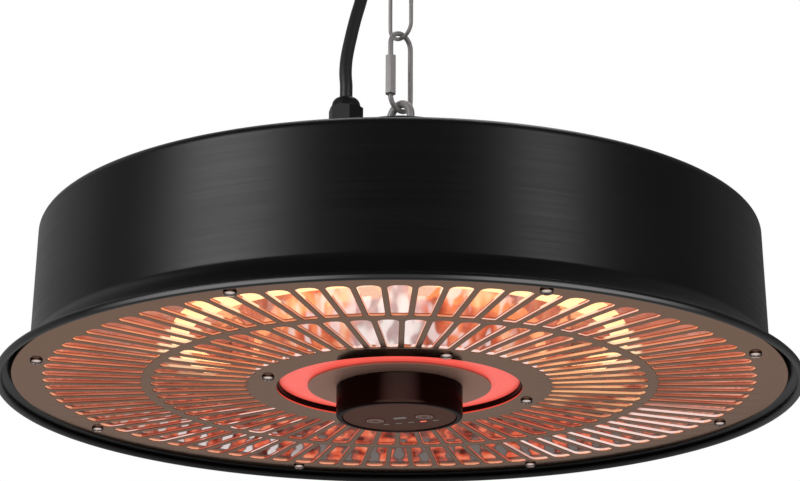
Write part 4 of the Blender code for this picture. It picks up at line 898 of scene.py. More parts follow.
@dataclass(frozen=True)
class Turned(Finish):
    """Sheet metal polished in rings, with the light ring's red glow painted on its hole's wall.

    Attributes:
        rings: the polishing rings' frequency along the radius.
        hole: the hole's radius.
        edge: how far the painted red glow reaches past the hole's wall.
        within: the radii where it starts inside the hole.
        red: the painted red glow on the hole's wall.
    """

    rings: float = 2600.0
    hole: float = 0.0651
    edge: float = 0.0003
    within: tuple[float, float] = (0.06, 0.062)
    red: Colour = (0.60, 0.045, 0.03)

    def detail(self, shading: Shading, grain: Value) -> None:
        """Add the polishing rings, faint smears and the painted red glow on the hole's wall.

        Args:
            shading: the material's shading.
            grain: its grain.
        """
        _, _, z, radius = shading.place()
        wave = shading.maths("SINE", radius * self.rings)
        # painted reflection: the hole's wall sends out the light ring's red as emission
        wall = 1.0 - shading.step(radius, self.hole, self.hole + self.edge)
        wall = wall * shading.step(radius, *self.within)
        wall = wall * shading.step(z, FACE + self.edge / 3, FACE + self.edge)
        shading.glow(wall, self.red, 0.8)
        smears = shading.noise((14.0, 14.0, 14.0), 3.0)
        shading.set(Roughness=self.roughness + wave * 0.012 + (smears - 0.5) * 0.10)
        shading.set(Base_Color=shading.blend(smears, scaled(self.colour, 0.9), self.colour))
        shading.bump(grain * 0.2 + wave * 0.05, 0.08, self.relief)


@dataclass(frozen=True)
class Edge(Finish):
    """The slots' bent edges, with the lamp's light from behind painted on as emission: light at their mouths,
    red deep inside.

    Attributes:
        near: the painted light's colours at the mouth and deep inside on the near side.
        side: the same on the left and right.
        far: the same on the far side.
        line: the painted dark line of shade at their tops.
        white: the painted glints at the slots' ends and on the walls that face the lamp.
        peach: the painted glints at the outer slots' outer ends.
        warm: the painted reflection of the lamp's image on the walls.
        cream: the painted light beside the lamp itself.
        lamp: the radius of the ring where the lamp is seen beside the walls, how far that ring stands to the
            near side, half its width, and how far it fades.
        inner: where the inner slots begin.
        outer: the radii where the outer slots begin and end.
        depths: the heights where the red starts and is full.
        middle: the heights between which the glints end.
        top: the heights where the dark line starts and is full.
    """

    near: tuple[Colour, Colour] = ((1.0, 0.46, 0.26), (0.62, 0.15, 0.055))
    side: tuple[Colour, Colour] = ((0.47, 0.205, 0.135), (0.42, 0.14, 0.085))
    far: tuple[Colour, Colour] = ((0.62, 0.21, 0.15), (0.50, 0.085, 0.05))
    line: Colour = (0.13, 0.016, 0.010)
    white: Colour = (1.0, 0.80, 0.74)
    peach: Colour = (1.0, 0.50, 0.32)
    warm: Colour = (1.0, 0.56, 0.28)
    cream: Colour = (1.0, 0.83, 0.52)
    lamp: tuple[float, float, float, float] = (0.1135, 0.066, 0.0065, 0.003)
    inner: float = 0.0807
    outer: tuple[float, float] = (0.1367, 0.1878)
    depths: tuple[float, float] = (0.0008, 0.0015)
    middle: tuple[float, float] = (0.0012, 0.0014)
    top: tuple[float, float] = (0.0016, 0.0018)

    def detail(self, shading: Shading, grain: Value) -> None:
        """Add the painted light along the edges, its painted dark lines and the painted glints at their ends.

        Args:
            shading: the material's shading.
            grain: its grain, which these walls don't show.
        """
        # painted light: every colour below is emission set by height and direction, standing in for the
        # lamp's light, its reflections and the shade between
        x, y, z, radius = shading.place()
        height = z - FACE
        across, ahead = x / radius, y / radius
        near = shading.step(-ahead, 0.10, 0.50)
        far = shading.step(ahead, 0.30, 0.62)
        deep = shading.step(height, *self.depths)
        light = shading.blend(deep, *self.side)
        light = shading.blend(near, light, shading.blend(deep, *self.near))
        light = shading.blend(far, light, shading.blend(deep, *self.far))
        angle = shading.maths("ARCTAN2", y, x)
        long = shading.noise_over((angle * 14.0, radius * 34.0))
        light = shading.blend(shading.step(long, 0.62, 0.36) * 0.45, light, self.line)
        light = shading.blend(shading.step(height, *self.top), light, self.line)
        within = 1.0 - shading.step(radius, self.outer[0] - 0.005, self.outer[0])
        image = shading.step(across, 0.45, 0.70) * within * (1.0 - far) * 0.8
        light = shading.blend(image * shading.step(long, 0.40, 0.54), light, self.warm)
        ring, aside, half, fade = self.lamp
        apart = abs((x * x + (y + aside) * (y + aside)) ** 0.5 - ring)
        light = shading.blend(near * (1.0 - shading.step(apart, half, half + fade)), light, self.cream)
        pearls = (1.0 - shading.step(radius, self.inner + 0.0009, self.inner + 0.0018)) * near
        right = shading.step(across, 0.35, 0.5) * shading.step(ahead, 0.22, 0.36)
        right = right * shading.step(radius, self.outer[0], self.outer[0] + 0.006)
        left = shading.step(-across, 0.35, 0.5) * far * shading.step(long, 0.50, 0.56)
        lit = shading.step(across, 0.12, 0.35) * (1.0 - shading.step(across, 0.60, 0.74)) * near
        low = (left + lit * 0.8) * (1.0 - shading.step(height, *self.middle))
        glints = (pearls * shading.step(long, 0.36, 0.46) + right + low).clamped()
        light = shading.blend(glints, light, self.white)
        ends = shading.step(radius, self.outer[1] - 0.0020, self.outer[1] - 0.0009) * (1.0 - deep * 0.6)
        light = shading.blend(ends, light, self.peach)
        shading.set(Emission_Color=light, Emission_Strength=0.85)


@dataclass(frozen=True)
class Channel(Finish):
    """The reflector: polished, a little wavy, with broken reflections of the lamp and grey ones at the lamp's
    gap, painted on as emission.

    Attributes:
        embers: the painted reflections' colours on the near side, from their shadows to their brightest.
        roses: the same on the far side.
        levels: how much of the noise each of those colours needs.
        flank: the painted light on the left and right.
        grey: the colour of painted reflections of plain metal.
        dull: their colour in the middle of the far side.
        shadow: the dark painted reflections on the far side, and the colour that the base colour is darkened
            towards there as painted shade.
        shade: the darker colour of the painted reflections where the lamp has its gap.
        bright: the brighter colour there.
        gap: the direction of the lamp's gap in the XY plane.
        brink: the heights up to which the images are short, and from which they are long.
    """

    embers: tuple = ((0.13, 0.018, 0.008), (0.50, 0.075, 0.032), (0.86, 0.24, 0.10), (1.0, 0.56, 0.33))
    roses: tuple = ((0.085, 0.02, 0.015), (0.42, 0.06, 0.034), (0.88, 0.145, 0.065), (1.0, 0.29, 0.16))
    levels: tuple = (0.30, 0.42, 0.56)
    flank: Colour = (0.34, 0.125, 0.08)
    grey: Colour = (0.90, 0.82, 0.82)
    dull: Colour = (0.125, 0.135, 0.135)
    shadow: Colour = (0.028, 0.022, 0.022)
    shade: Colour = (0.46, 0.40, 0.41)
    bright: Colour = (1.0, 0.97, 0.95)
    gap: tuple[float, float] = (-0.09, -1.0)
    brink: tuple[float, float] = (0.014, 0.018)

    def detail(self, shading: Shading, grain: Value) -> None:
        """Add ripples and the lamp's painted reflections, which run long across the channel and short along
        it.

        Args:
            shading: the material's shading.
            grain: its grain, which the ripples cover.
        """
        # painted reflections: emission set by angle, height and direction stands in for the lamp's images in
        # the metal
        x, y, z, radius = shading.place()
        angle = shading.maths("ARCTAN2", y, x)
        facing = (x * self.gap[0] + y * self.gap[1]) / radius
        wide = (angle * 7.0, z * 46.0, radius * 20.0)
        tight = (angle * 17.0, z * 240.0, radius * 60.0)
        soft, bands = shading.noise_over(wide), shading.noise_over(wide, 2.1, 0.5)
        images, checks = shading.noise_over(tight), shading.noise_over(tight, 1.5, 0.0)
        light, far = self.embers[0], self.roses[0]
        for ember, rose, low in zip(self.embers[1:], self.roses[1:], self.levels):
            light = shading.blend(shading.step(soft, low, low + 0.14), light, ember)
            far = shading.blend(shading.step(images, low + 0.05, low + 0.15), far, rose)
        streaks = shading.step(facing, 0.30, 0.85) * shading.step(bands, 0.50, 0.68)
        light = shading.blend(streaks * 0.8, light, self.grey)
        away = shading.step(-facing, 0.40, 0.80)
        under = 1.0 - shading.step(z - FACE, *self.brink)
        turn = angle - math.pi / 2
        coarse = shading.maths("COSINE", turn * 75.0) + (checks - 0.5) * 1.6
        fine = (checks - 0.5) * 3.0 - shading.maths("COSINE", turn * 110.0)
        beat = fine + (coarse - fine) * under
        far = shading.blend(away * shading.step(beat, 0.0, 0.45) * (under * 0.3 + 0.6), far, self.shadow)
        spots = under * shading.step(beat, 0.35, 0.80) * shading.step(-facing, 0.25, 0.55)
        left = shading.step(-(x / radius), 0.22, 0.45)
        far = shading.blend(spots * 0.9, far, shading.blend(left, self.dull, self.grey))
        light = shading.blend(shading.step(-facing, -0.30, 0.45), light, far)
        light = shading.blend(shading.step(abs(x) / radius, 0.62, 0.88) * 0.75, light, self.flank)
        bare = shading.blend(shading.step(bands, 0.34, 0.52), self.shade, self.bright)
        light = shading.blend(shading.step(facing, 0.965, 0.990) * 0.92, light, bare)
        # painted shade: the base colour is darkened on the side away from the lamp's gap
        shading.set(Base_Color=shading.blend(away * 0.75, self.colour, self.shadow))
        shading.set(Emission_Color=light, Emission_Strength=0.78)
        shading.bump(shading.noise((70.0, 70.0, 70.0), 2.0), 0.5, 0.0012)


@dataclass(frozen=True)
class Glow(Finish):
    """A glowing surface: one colour where it faces the eye, another at its edge; on the ceramic pieces this
    glow is painted lamplight.

    Attributes:
        middle: the light facing the eye.
        edge: the light at the rim.
        strength: the light's strength.
        clear: how much shows through it.
    """

    middle: Colour = (1.0, 0.62, 0.24)
    edge: Colour = (1.0, 0.28, 0.06)
    strength: float = 1.0
    clear: float = 0.0

    def detail(self, shading: Shading, grain: Value) -> None:
        """Add the light.

        Args:
            shading: the material's shading.
            grain: its grain, which the light leaves out.
        """
        facing = shading.node("ShaderNodeLayerWeight", {}, {"Blend": 0.5}, 1)
        unevenness = shading.noise((60.0, 60.0, 60.0), 2.0) * 0.35
        share = (facing + unevenness - 0.17).clamped()
        shading.set(Emission_Color=shading.blend(share, self.middle, self.edge))
        shading.set(Emission_Strength=self.strength, Alpha=1.0 - self.clear)


@dataclass(frozen=True)
class Polished(Finish):
    """A glossy surface with a painted highlight: it is lighter where it faces the eye.

    Attributes:
        rim: the colour where it turns away.
        facing: how squarely it faces the eye where the change starts and ends, one for squarely.
        painted_shine: a painted reflection that it sends out there as emission.
    """

    rim: Colour = (0.05, 0.05, 0.05)
    facing: tuple[float, float] = (0.5, 1.0)
    painted_shine: Colour = BLACK

    def detail(self, shading: Shading, grain: Value) -> None:
        """Add the painted highlight: the change of colour and the painted reflection.

        Args:
            shading: the material's shading.
            grain: its grain, which the change leaves out.
        """
        # painted highlight: the base colour lightens and the surface sends out light where it faces the eye
        turned = shading.node("ShaderNodeLayerWeight", {}, {"Blend": 0.5}, 1)
        share = shading.step(1.0 - turned, *self.facing)
        shading.set(Base_Color=shading.blend(share, self.rim, self.colour))
        shading.glow(share, self.painted_shine)


@dataclass(frozen=True)
class Diffuser(Finish):
    """The red light ring: even light with a soft spot under each of its diodes.

    Attributes:
        light: the light's colour.
        spots: how many diodes there are.
        middle: the ring's middle radius.
        fade: how far from it the light starts to fade and where that ends.
    """

    light: Colour = (0.93, 0.118, 0.086)
    spots: int = 12
    middle: float = 0.0556
    fade: tuple[float, float] = (0.004, 0.0085)

    def detail(self, shading: Shading, grain: Value) -> None:
        """Add the light.

        Args:
            shading: the material's shading.
            grain: its grain, which the light leaves out.
        """
        x, y, _, radius = shading.place()
        wave = shading.maths("COSINE", shading.maths("ARCTAN2", y, x) * float(self.spots))
        edge = shading.step(abs(radius - self.middle), *self.fade)
        share = (0.12 + edge * 0.5 - wave * 0.05).clamped()
        shading.set(Emission_Color=shading.blend(share, self.light, scaled(self.light, 0.55)))
        shading.set(Emission_Strength=0.8)


@dataclass(frozen=True)
class Marked(Finish):
    """A dark face with faint printed rings.

    Attributes:
        rings: each ring's centre, radius and width.
        ink: the rings' colour.
    """

    rings: tuple = ()
    ink: Colour = (0.46, 0.36, 0.33)

    def detail(self, shading: Shading, grain: Value) -> None:
        """Add the rings.

        Args:
            shading: the material's shading.
            grain: its grain, which the rings cover.
        """
        share: Number = 0.0
        for centre, radius, width in self.rings:
            share = shading.mark(centre, radius, width) + share
        if isinstance(share, Value):
            shading.set(Base_Color=shading.blend(share.clamped(), self.colour, self.ink))


@dataclass(frozen=True)
class Traces(Finish):
    """A circuit board: copper runs under green lacquer.

    Attributes:
        run: the runs' colour.
        cells: how many runs a metre has.
    """

    run: Colour = (0.05, 0.26, 0.12)
    cells: float = 260.0

    def detail(self, shading: Shading, grain: Value) -> None:
        """Add the runs.

        Args:
            shading: the material's shading.
            grain: its grain, which the runs cover.
        """
        inputs = {"Vector": shading.where(), "Scale": self.cells, "Randomness": 0.35}
        cells = shading.node("ShaderNodeTexVoronoi", {"distance": "MANHATTAN"}, inputs)
        shading.set(Base_Color=shading.blend(shading.step(cells, 0.35, 0.42), self.colour, self.run))


KEY_CENTRES = {Body.POWER: (-0.01283, 0.00744), Body.MODE: (0.01311, -0.00200)}
KEY_RINGS = (0.0042, 0.0026)  # the radii of the rings printed on a key
KEY_LINE = 0.00045  # their line's width
COPPER_TINT = (0.80, 0.71, 0.66)  # the copper's sheen at a flat angle


class Palette:
    """Every finish's material, made once."""

    FINISHES = {
        Look.PAINT: Paint((0.0036, 0.0036, 0.0037), 0.37, gloss=0.30),
        Look.COPPER: Turned((0.345, 0.205, 0.143), 0.12, 1.0, tint=COPPER_TINT),
        Look.DISC: Finish((0.47, 0.27, 0.21), 0.50, 0.8, relief=0.000004, vary=0.06, tint=COPPER_TINT),
        Look.EDGE: Edge((0.20, 0.10, 0.07), 0.25, 1.0),
        Look.STEEL: Finish((0.36, 0.34, 0.335), 0.50, 0.4, (420.0, 420.0, 420.0), 0.16, 0.000006),
        # screw heads: painted highlight, painted reflection and darker rim, set by how squarely they face the
        # eye
        Look.CHROME: Polished(
            (0.66, 0.58, 0.55),
            0.16,
            1.0,
            relief=0.000002,
            rim=(0.10, 0.07, 0.06),
            facing=(0.60, 0.97),
            painted_shine=(0.26, 0.20, 0.18),
        ),
        Look.ZINC: Finish((0.40, 0.40, 0.395), 0.55, 0.6, (160.0, 160.0, 160.0), 0.20),
        Look.REFLECTOR: Channel((0.42, 0.24, 0.18), 0.12, 1.0),
        Look.QUARTZ: Glow(
            (1.0, 0.7, 0.42), 0.12, middle=(1.0, 0.74, 0.42), edge=(1.0, 0.58, 0.28), clear=0.15
        ),
        Look.WIRE: Glow((1.0, 0.6, 0.3), 0.5, middle=(1.0, 0.66, 0.34), edge=(1.0, 0.5, 0.16), strength=2.2),
        # ceramic pieces: painted lamplight, sent out as emission
        Look.CERAMIC: Glow(
            (0.80, 0.77, 0.72), 0.62, middle=(0.80, 0.46, 0.26), edge=(0.70, 0.28, 0.12), strength=0.8
        ),
        Look.DIFFUSER: Diffuser((0.45, 0.04, 0.03), 0.30),
        # black gloss: a painted highlight down the middle, where it faces the eye
        Look.GLOSS: Polished(
            (0.098, 0.061, 0.053),
            0.24,
            relief=0.000004,
            gloss=0.015,
            rim=(0.011, 0.003, 0.0025),
            facing=(0.90, 0.985),
        ),
        Look.PANEL: Marked((0.098, 0.035, 0.021), 0.50, relief=0.000006, gloss=0.05),
        Look.KEY: Marked(
            (0.125, 0.047, 0.034),
            0.46,
            relief=0.000006,
            gloss=0.08,
            rings=tuple((centre, ring, KEY_LINE) for centre in KEY_CENTRES.values() for ring in KEY_RINGS),
        ),
        Look.LENS: Finish((0.20, 0.145, 0.125), 0.24, vary=0.1),
        Look.LIT_LENS: Glow((0.8, 0.1, 0.06), 0.3, middle=(1.0, 0.16, 0.10), edge=(0.9, 0.08, 0.05)),
        Look.PLASTIC: Finish((0.0085, 0.0085, 0.009), 0.45, gloss=0.25),
        Look.RUBBER: Finish((0.017, 0.017, 0.018), 0.46, vary=0.2),
        Look.BOARD: Traces((0.02, 0.15, 0.07), 0.4),
        Look.WHITE: Finish((0.78, 0.78, 0.75), 0.5, vary=0.06),
    }

    def __init__(self) -> None:
        """Make the materials."""
        self.materials = {look: finish.material(look.value[0]) for look, finish in self.FINISHES.items()}

    def dress(self, piece: bpy.types.Object, look: Look) -> None:
        """Give a new piece its material, in place of any that it had.

        Args:
            piece: the piece.
            look: its finish.
        """
        piece.data.materials.clear()
        piece.data.materials.append(self.materials[look])

    def redress(self, nodes: dict) -> None:
        """Give the frame's own nodes better materials, the first finish of each slot.

        Args:
            nodes: the frame's nodes by name.
        """
        by_slot = {}
        for look in Look:
            by_slot.setdefault(look.value[1], self.materials[look])
        for node in nodes.values():
            for place in node.material_slots:
                if place.material is not None:
                    place.material = by_slot.get(place.material.name.split(".")[0], place.material)


# The object


@dataclass
class Assembly:
    """A sub-assembly: makes its pieces, dresses them and puts them on their bodies.

    Attributes:
        palette: the materials.
        body: the body that its pieces ride on.
        names: the pieces made so far.
    """

    palette: Palette
    body: Body = Body.HEATER
    names: list = field(default_factory=list)

    def fit(
        self,
        piece: bpy.types.Object,
        look: Look,
        *nodes: str,
        body: Optional[Body] = None,
        rides: bool = True,
    ) -> bpy.types.Object:
        """Dress a piece, put it on a body and let it stand for nodes of the frame.

        Args:
            piece: the piece.
            look: its finish.
            nodes: the nodes that it replaces.
            body: the body that it rides on, where that isn't the assembly's.
            rides: False for a piece that is put on no body, such as the lead's free stretch.

        Returns:
            The piece.
        """
        self.palette.dress(piece, look)
        if rides:
            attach(piece, (body or self.body).value)
        if nodes:
            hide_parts(*nodes)
        self.names.append(piece.name)
        LOG.info("%s: %s, %d faces", type(self).__name__, piece.name, len(piece.data.polygons))
        return piece

    def turned(
        self,
        node: str,
        outline: Sequence,
        look: Look,
        steps: int = 160,
        closed: bool = True,
        at: Point = LIFT,
        crease: float = CREASE,
        body: Optional[Body] = None,
    ) -> None:
        """Turn the piece that stands for a node about an upright axis, and fit it.

        Args:
            node: the node.
            outline: the piece's section in radius and height.
            look: its finish.
            steps: steps round the axis.
            closed: whether the section's last point joins its first.
            at: where the section's origin stands.
            crease: the angle in degrees above which an edge stays sharp.
            body: the body that it rides on, where that isn't the assembly's.
        """
        self.fit(lathe(f"{node}_dressed", outline, steps, closed, at, crease), look, node, body=body)

    def build(self) -> None:
        """Make every piece."""
        raise NotImplementedError


@dataclass
class Screws(Assembly):
    """Pan-headed screws with a cross in their heads, head down.

    Attributes:
        prefix: the nodes' common name.
        places: each screw's X and Y.
        seat: the height of the heads' seats.
        head: the heads' radius and height.
        shank: the shanks' radius and length.
        cross_shares: the cross's length and width as shares of the heads' radius, and its floor's distance
            from the seat as a share of their height.
        look: their finish.
    """

    prefix: str = ""
    places: Sequence = ()
    seat: float = 0.0
    head: tuple[float, float] = (0.0033, 0.0018)
    shank: tuple[float, float] = (0.0015, 0.0052)
    cross_shares: Point = (1.25, 0.26, 0.35)
    look: Look = Look.CHROME

    def blank(self) -> bpy.types.Mesh:
        """One screw at the origin: its head's radius at angle a is r |cos a|^0.6.

        Returns:
            Its mesh.
        """
        radius, height = self.head
        shank, length = self.shank
        dome = arc((0.0, 0.0), 1.0, 0, -90, 7)
        dome = np.column_stack([radius * np.minimum(1.0, abs(dome[:, 0]) ** 0.6), height * dome[:, 1]])
        outline = np.concatenate([[(0.0, length), (shank, length), (shank, 0.0)], dome])
        body = lathe("screw_blank", outline, 28, closed=False)
        long, wide, floor = self.cross_shares
        leftovers = [body]
        for size in ((long * radius, wide * radius), (wide * radius, long * radius)):
            arm = slab("arm", [rounded_box(size, 0.05 * radius, (0, 0))], -2 * height, -floor * height, 1e-5)
            cross = body.modifiers.new("cross", "BOOLEAN")
            cross.operation = "DIFFERENCE"
            cross.solver = "EXACT"
            cross.object = arm
            leftovers.append(arm)
        mesh = settled(body)
        for leftover in leftovers:
            bpy.data.objects.remove(leftover, do_unlink=True)
        return mesh

    def build(self) -> None:
        """Make the screws, each turned its own way."""
        blank = self.blank()
        for i, (x, y) in enumerate(self.places):
            name = f"{self.prefix}_{i + 1}"
            mesh = blank.copy()
            mesh.transform(Matrix.Translation((x, y, self.seat)) @ Matrix.Rotation(2.4 * i + 0.5, 4, "Z"))
            self.fit(finished(f"{name}_dressed", mesh), self.look, name)


@dataclass
class CeilingFitting(Assembly):
    """The ceiling plate and its hook.

    Attributes:
        plate_radius: the plate's radius.
        plate: its thickness.
        edges: how far its upper and lower edges are eased.
        wire: the hook's wire diameter.
        bend: the hook's bend radius.
        drop: from the ceiling to the hook's lowest wire.
        turn: the hook's plane about Z.
        neck_shares: the neck's points aside and above the bend's middle, in bend radii.
        straight_share: how high above it the straight shank ends, in bend radii.
        collar: the collar's inner radius, its upper and lower radius, and its height.
        ease: how far the collar's edges are eased.
    """

    body: Body = Body.CEILING
    plate_radius: float = 0.032
    plate: float = 0.0025
    edges: tuple[float, float] = (0.0004, 0.0013)
    wire: float = 0.0046
    bend: float = 0.0085
    drop: float = 0.119
    turn: float = math.radians(45)
    neck_shares: tuple = ((0.0, 2.5), (0.1, 1.95), (0.42, 1.35))
    straight_share: float = 2.8
    collar: tuple[float, float, float, float] = (0.0022, 0.0052, 0.0044, 0.004)
    ease: float = 0.0006

    def build(self) -> None:
        """Make the plate with its chamfered edge, and the bent hook with its collar."""
        section = [(0.0, 0.0), (self.plate_radius, 0.0), (self.plate_radius, -self.plate), (0.0, -self.plate)]
        section = eased(section, [0.0, *self.edges, 0.0], closed=False)
        self.turned("ceiling_plate", section, Look.ZINC, 96, False, ORIGIN)
        middle = self.bend - self.drop
        neck = self.bend * np.array(self.neck_shares) + (0.0, middle)
        bend = arc((0.0, middle), self.bend, 38, -218, 48)
        top = middle + self.bend * self.straight_share
        shank = [(0.0, z) for z in np.linspace(-self.plate, top, 24)]
        straight = eased(np.array([*shank, *neck, bend[0]]), 0.004, 5, False)
        hook = wire("hook_wire", np.concatenate([straight[:-1], bend]), self.turn, self.wire, step=0.0012)
        bore, upper, lower, height = self.collar
        outline = eased([(bore, 0.0), (upper, 0.0), (lower, -height), (bore, -height)], self.ease)
        collar = lathe("hook_collar", outline, 48, at=(0.0, 0.0, -self.plate))
        self.fit(merged("ceiling_hook_dressed", [hook, collar]), Look.ZINC, "ceiling_hook")


@dataclass
class Chain(Assembly):
    """The chain link, and the quick link with its threaded gate and hexagonal sleeve.

    Attributes:
        link: the link's top, bottom, width and wire.
        weld: half the weld's length, and its swelling as a share of the wire.
        quick: the quick link's top, bottom, width and wire.
        turn: the quick link's plane about Z.
        rise: how far its lower end reaches into the sleeve.
        opening: the gate's opening.
        pitch: its thread's pitch.
        flats: the sleeve's width over flats.
        sleeve: the sleeve's length.
    """

    link: tuple[float, float, float, float] = (-0.1153, -0.1551, 0.0163, 0.0022)
    weld: tuple[float, float] = (0.0007, 0.14)
    quick: tuple[float, float, float, float] = (-0.1523, -0.1982, 0.0154, 0.0028)
    turn: float = math.radians(45)
    rise: float = 0.0012
    opening: float = 0.005
    pitch: float = 0.0006
    flats: float = 0.0056
    sleeve: float = 0.0226

    def build(self) -> None:
        """Make the two links and the sleeve; the weld swells the link's wire by exp(-(h / length)^2)."""
        top, bottom, width, thick = self.link
        length, swelling = self.weld
        line = stadium(top, bottom, width, 26)
        weld = np.exp(-(((line[:, 1] - (top + bottom) / 2) / length) ** 2)) * (line[:, 0] > 0)
        link = wire("chain_link_dressed", line, self.turn - math.pi / 2, thick, 20, swell=1 + swelling * weld)
        self.fit(link, Look.STEEL, "chain_link", body=Body.CHAIN)
        top, bottom, width, thick = self.quick
        half = width / 2
        foot = bottom + half + GAP
        gate = foot + self.rise
        over = arc((0.0, top - half), half, 180, 0, 30)
        under = arc((0.0, bottom + half), half, 0, -180, 30)
        route = np.concatenate([[(-half, gate + self.opening)], over, under, [(-half, gate)]])
        loop = wire("quick_wire", route, self.turn, thick, step=0.0009)
        leg = upright([(-half, 0.0)], self.turn)[0]
        lower = threaded("gate_thread", thick / 2, foot - self.rise, gate, self.pitch, leg)
        self.fit(merged("quick_link_dressed", [loop, lower]), Look.STEEL, "quick_link", body=Body.QUICK)
        bore, corner = thick / 2 + GAP, math.radians(30)
        sleeve = hexagon("sleeve_dressed", self.flats, foot, foot + self.sleeve, bore, corner, leg)
        self.fit(sleeve, Look.STEEL, "quick_link_sleeve", body=Body.SLEEVE)


@dataclass
class EyeBolt(Assembly):
    """The eye on the drum's neck.

    Attributes:
        radius: the eye's radius.
        wire: its wire's diameter.
        middle: its middle's height in the object's frame.
        foot: the collar's foot in the object's frame.
        turn: its plane about Z.
        collar: the collar's radius and height.
        crown: the radius and height of the collar's top.
        shank: the shank's radius and length.
    """

    radius: float = 0.0079
    wire: float = 0.0044
    middle: float = -0.2022
    foot: float = -0.2127
    turn: float = math.radians(-45)
    collar: tuple[float, float] = (0.0055, 0.0014)
    crown: tuple[float, float] = (0.0036, 0.0026)
    shank: tuple[float, float] = (0.0025, 0.013)

    def build(self) -> None:
        """Make the eye with its collar and shank."""
        eye = wire("eye_ring", circle(self.radius, 72, (0.0, self.middle)), self.turn, self.wire, 28)
        (wide, _), (_, height), (thin, length) = self.collar, self.crown, self.shank
        outline = [(0.0, height), self.crown, self.collar, (wide, 0.0)]
        outline += [(thin, 0.0), (thin, -length), (0.0, -length)]
        reach = [0, 0.001, 0.0006, 0.0003, 0, 0.0003, 0]
        collar = lathe("eye_collar", eased(outline, reach, closed=False), 64, False, (0.0, 0.0, self.foot))
        self.fit(merged("eye_bolt_dressed", [eye, collar]), Look.STEEL, "eye_bolt")


@dataclass
class DrumHousing(Assembly):
    """The drum of black sheet: neck, low roof, wall, flared brim and rolled edge.

    Attributes:
        sheet: the sheet's thickness.
        foot: the wall's radius and height at its foot.
        top: its radius at the shoulder, and the shoulder's height.
        shoulder: the shoulder's radius.
        roof: the flat's radius and height.
        neck: the neck's radius and height.
        taper: how much wider the neck is at its foot.
        lip: the radius of the neck's upper edge.
        ease: how far the roof's corners are eased.
        hole: the radius of the neck's hole.
        brim: the brim's radius.
        bead: the rolled edge's radius.
    """

    sheet: float = 0.001
    foot: tuple[float, float] = (0.195, 0.0148)
    top: tuple[float, float] = (0.1934, 0.0819)
    shoulder: float = 0.0048
    roof: tuple[float, float] = (0.064, 0.1235)
    neck: tuple[float, float] = (0.034, 0.1428)
    taper: float = 0.0003
    lip: float = 0.002
    ease: float = 0.0022
    hole: float = 0.0028
    brim: float = 0.2125
    bead: float = 0.0021

    def outline(self) -> Array:
        """The outer side from the neck's hole to the end of the rolled edge.

        Below the foot the radius is foot + (end - foot) share^1.6, where share grows with the depth.

        Returns:
            The points in radius and height.
        """
        bead = arc((self.brim - self.bead, -self.bead), self.bead, 50, -215, 22)
        share = np.linspace(0.0, 1.0, 16, endpoint=False)
        foot = np.array(self.foot)
        flare = foot + (bead[0] - foot) * np.stack([share**1.6, share], axis=-1)
        shoulder = arc((self.top[0] - self.shoulder, self.top[1] - self.shoulder), self.shoulder, 72, 0, 10)
        neck = arc((self.neck[0] - self.lip, self.neck[1] - self.lip), self.lip, 90, 4, 8)
        bends = [neck[-1], (self.neck[0] + self.taper, self.roof[1]), self.roof, shoulder[0]]
        corner = eased(bends, self.ease, 6, False)
        return np.concatenate([[(self.hole, self.neck[1])], neck, corner[1:-1], shoulder, flare, bead])

    def build(self) -> None:
        """Make the drum."""
        outer = self.outline()
        inner = beside(outer, self.sheet, closed=False)
        inner[0] = (outer[0][0], outer[0][1] - self.sheet)
        self.turned("drum_housing", np.concatenate([outer, inner[::-1]]), Look.PAINT, 288, crease=50.0)


@dataclass(frozen=True)
class SlotRing:
    """A ring of slots between slats of one width.

    Attributes:
        count: how many slots.
        start: their inner ends' radius.
        end: their outer ends' radius.
        turn: the first slot's angle.
        ease_in: how far the inner corners are eased.
        ease_out: how far the outer corners are eased.
        slat: the slats' width.
    """

    count: int
    start: float
    end: float
    turn: float
    ease_in: float
    ease_out: float
    slat: float = 0.003

    def outlines(self, shift: float) -> Array:
        """Every slot's outline.

        Args:
            shift: how far the outline is moved outwards.

        Returns:
            The outlines, count by points by 2.
        """
        half = math.pi / self.count
        inner = self.start * math.sin(half) - self.slat / 2
        outer = self.end * math.sin(half) - self.slat / 2
        corners = [(self.start, -inner), (self.end, -outer), (self.end, outer), (self.start, inner)]
        reach = [self.ease_in, self.ease_out, self.ease_out, self.ease_in]
        shape = beside(eased(corners, reach, 6), shift)
        angle = self.turn + turns(self.count)
        cos, sin = np.cos(angle)[:, None], np.sin(angle)[:, None]
        x, y = shape.T
        return np.stack([x * cos - y * sin, x * sin + y * cos], axis=-1)


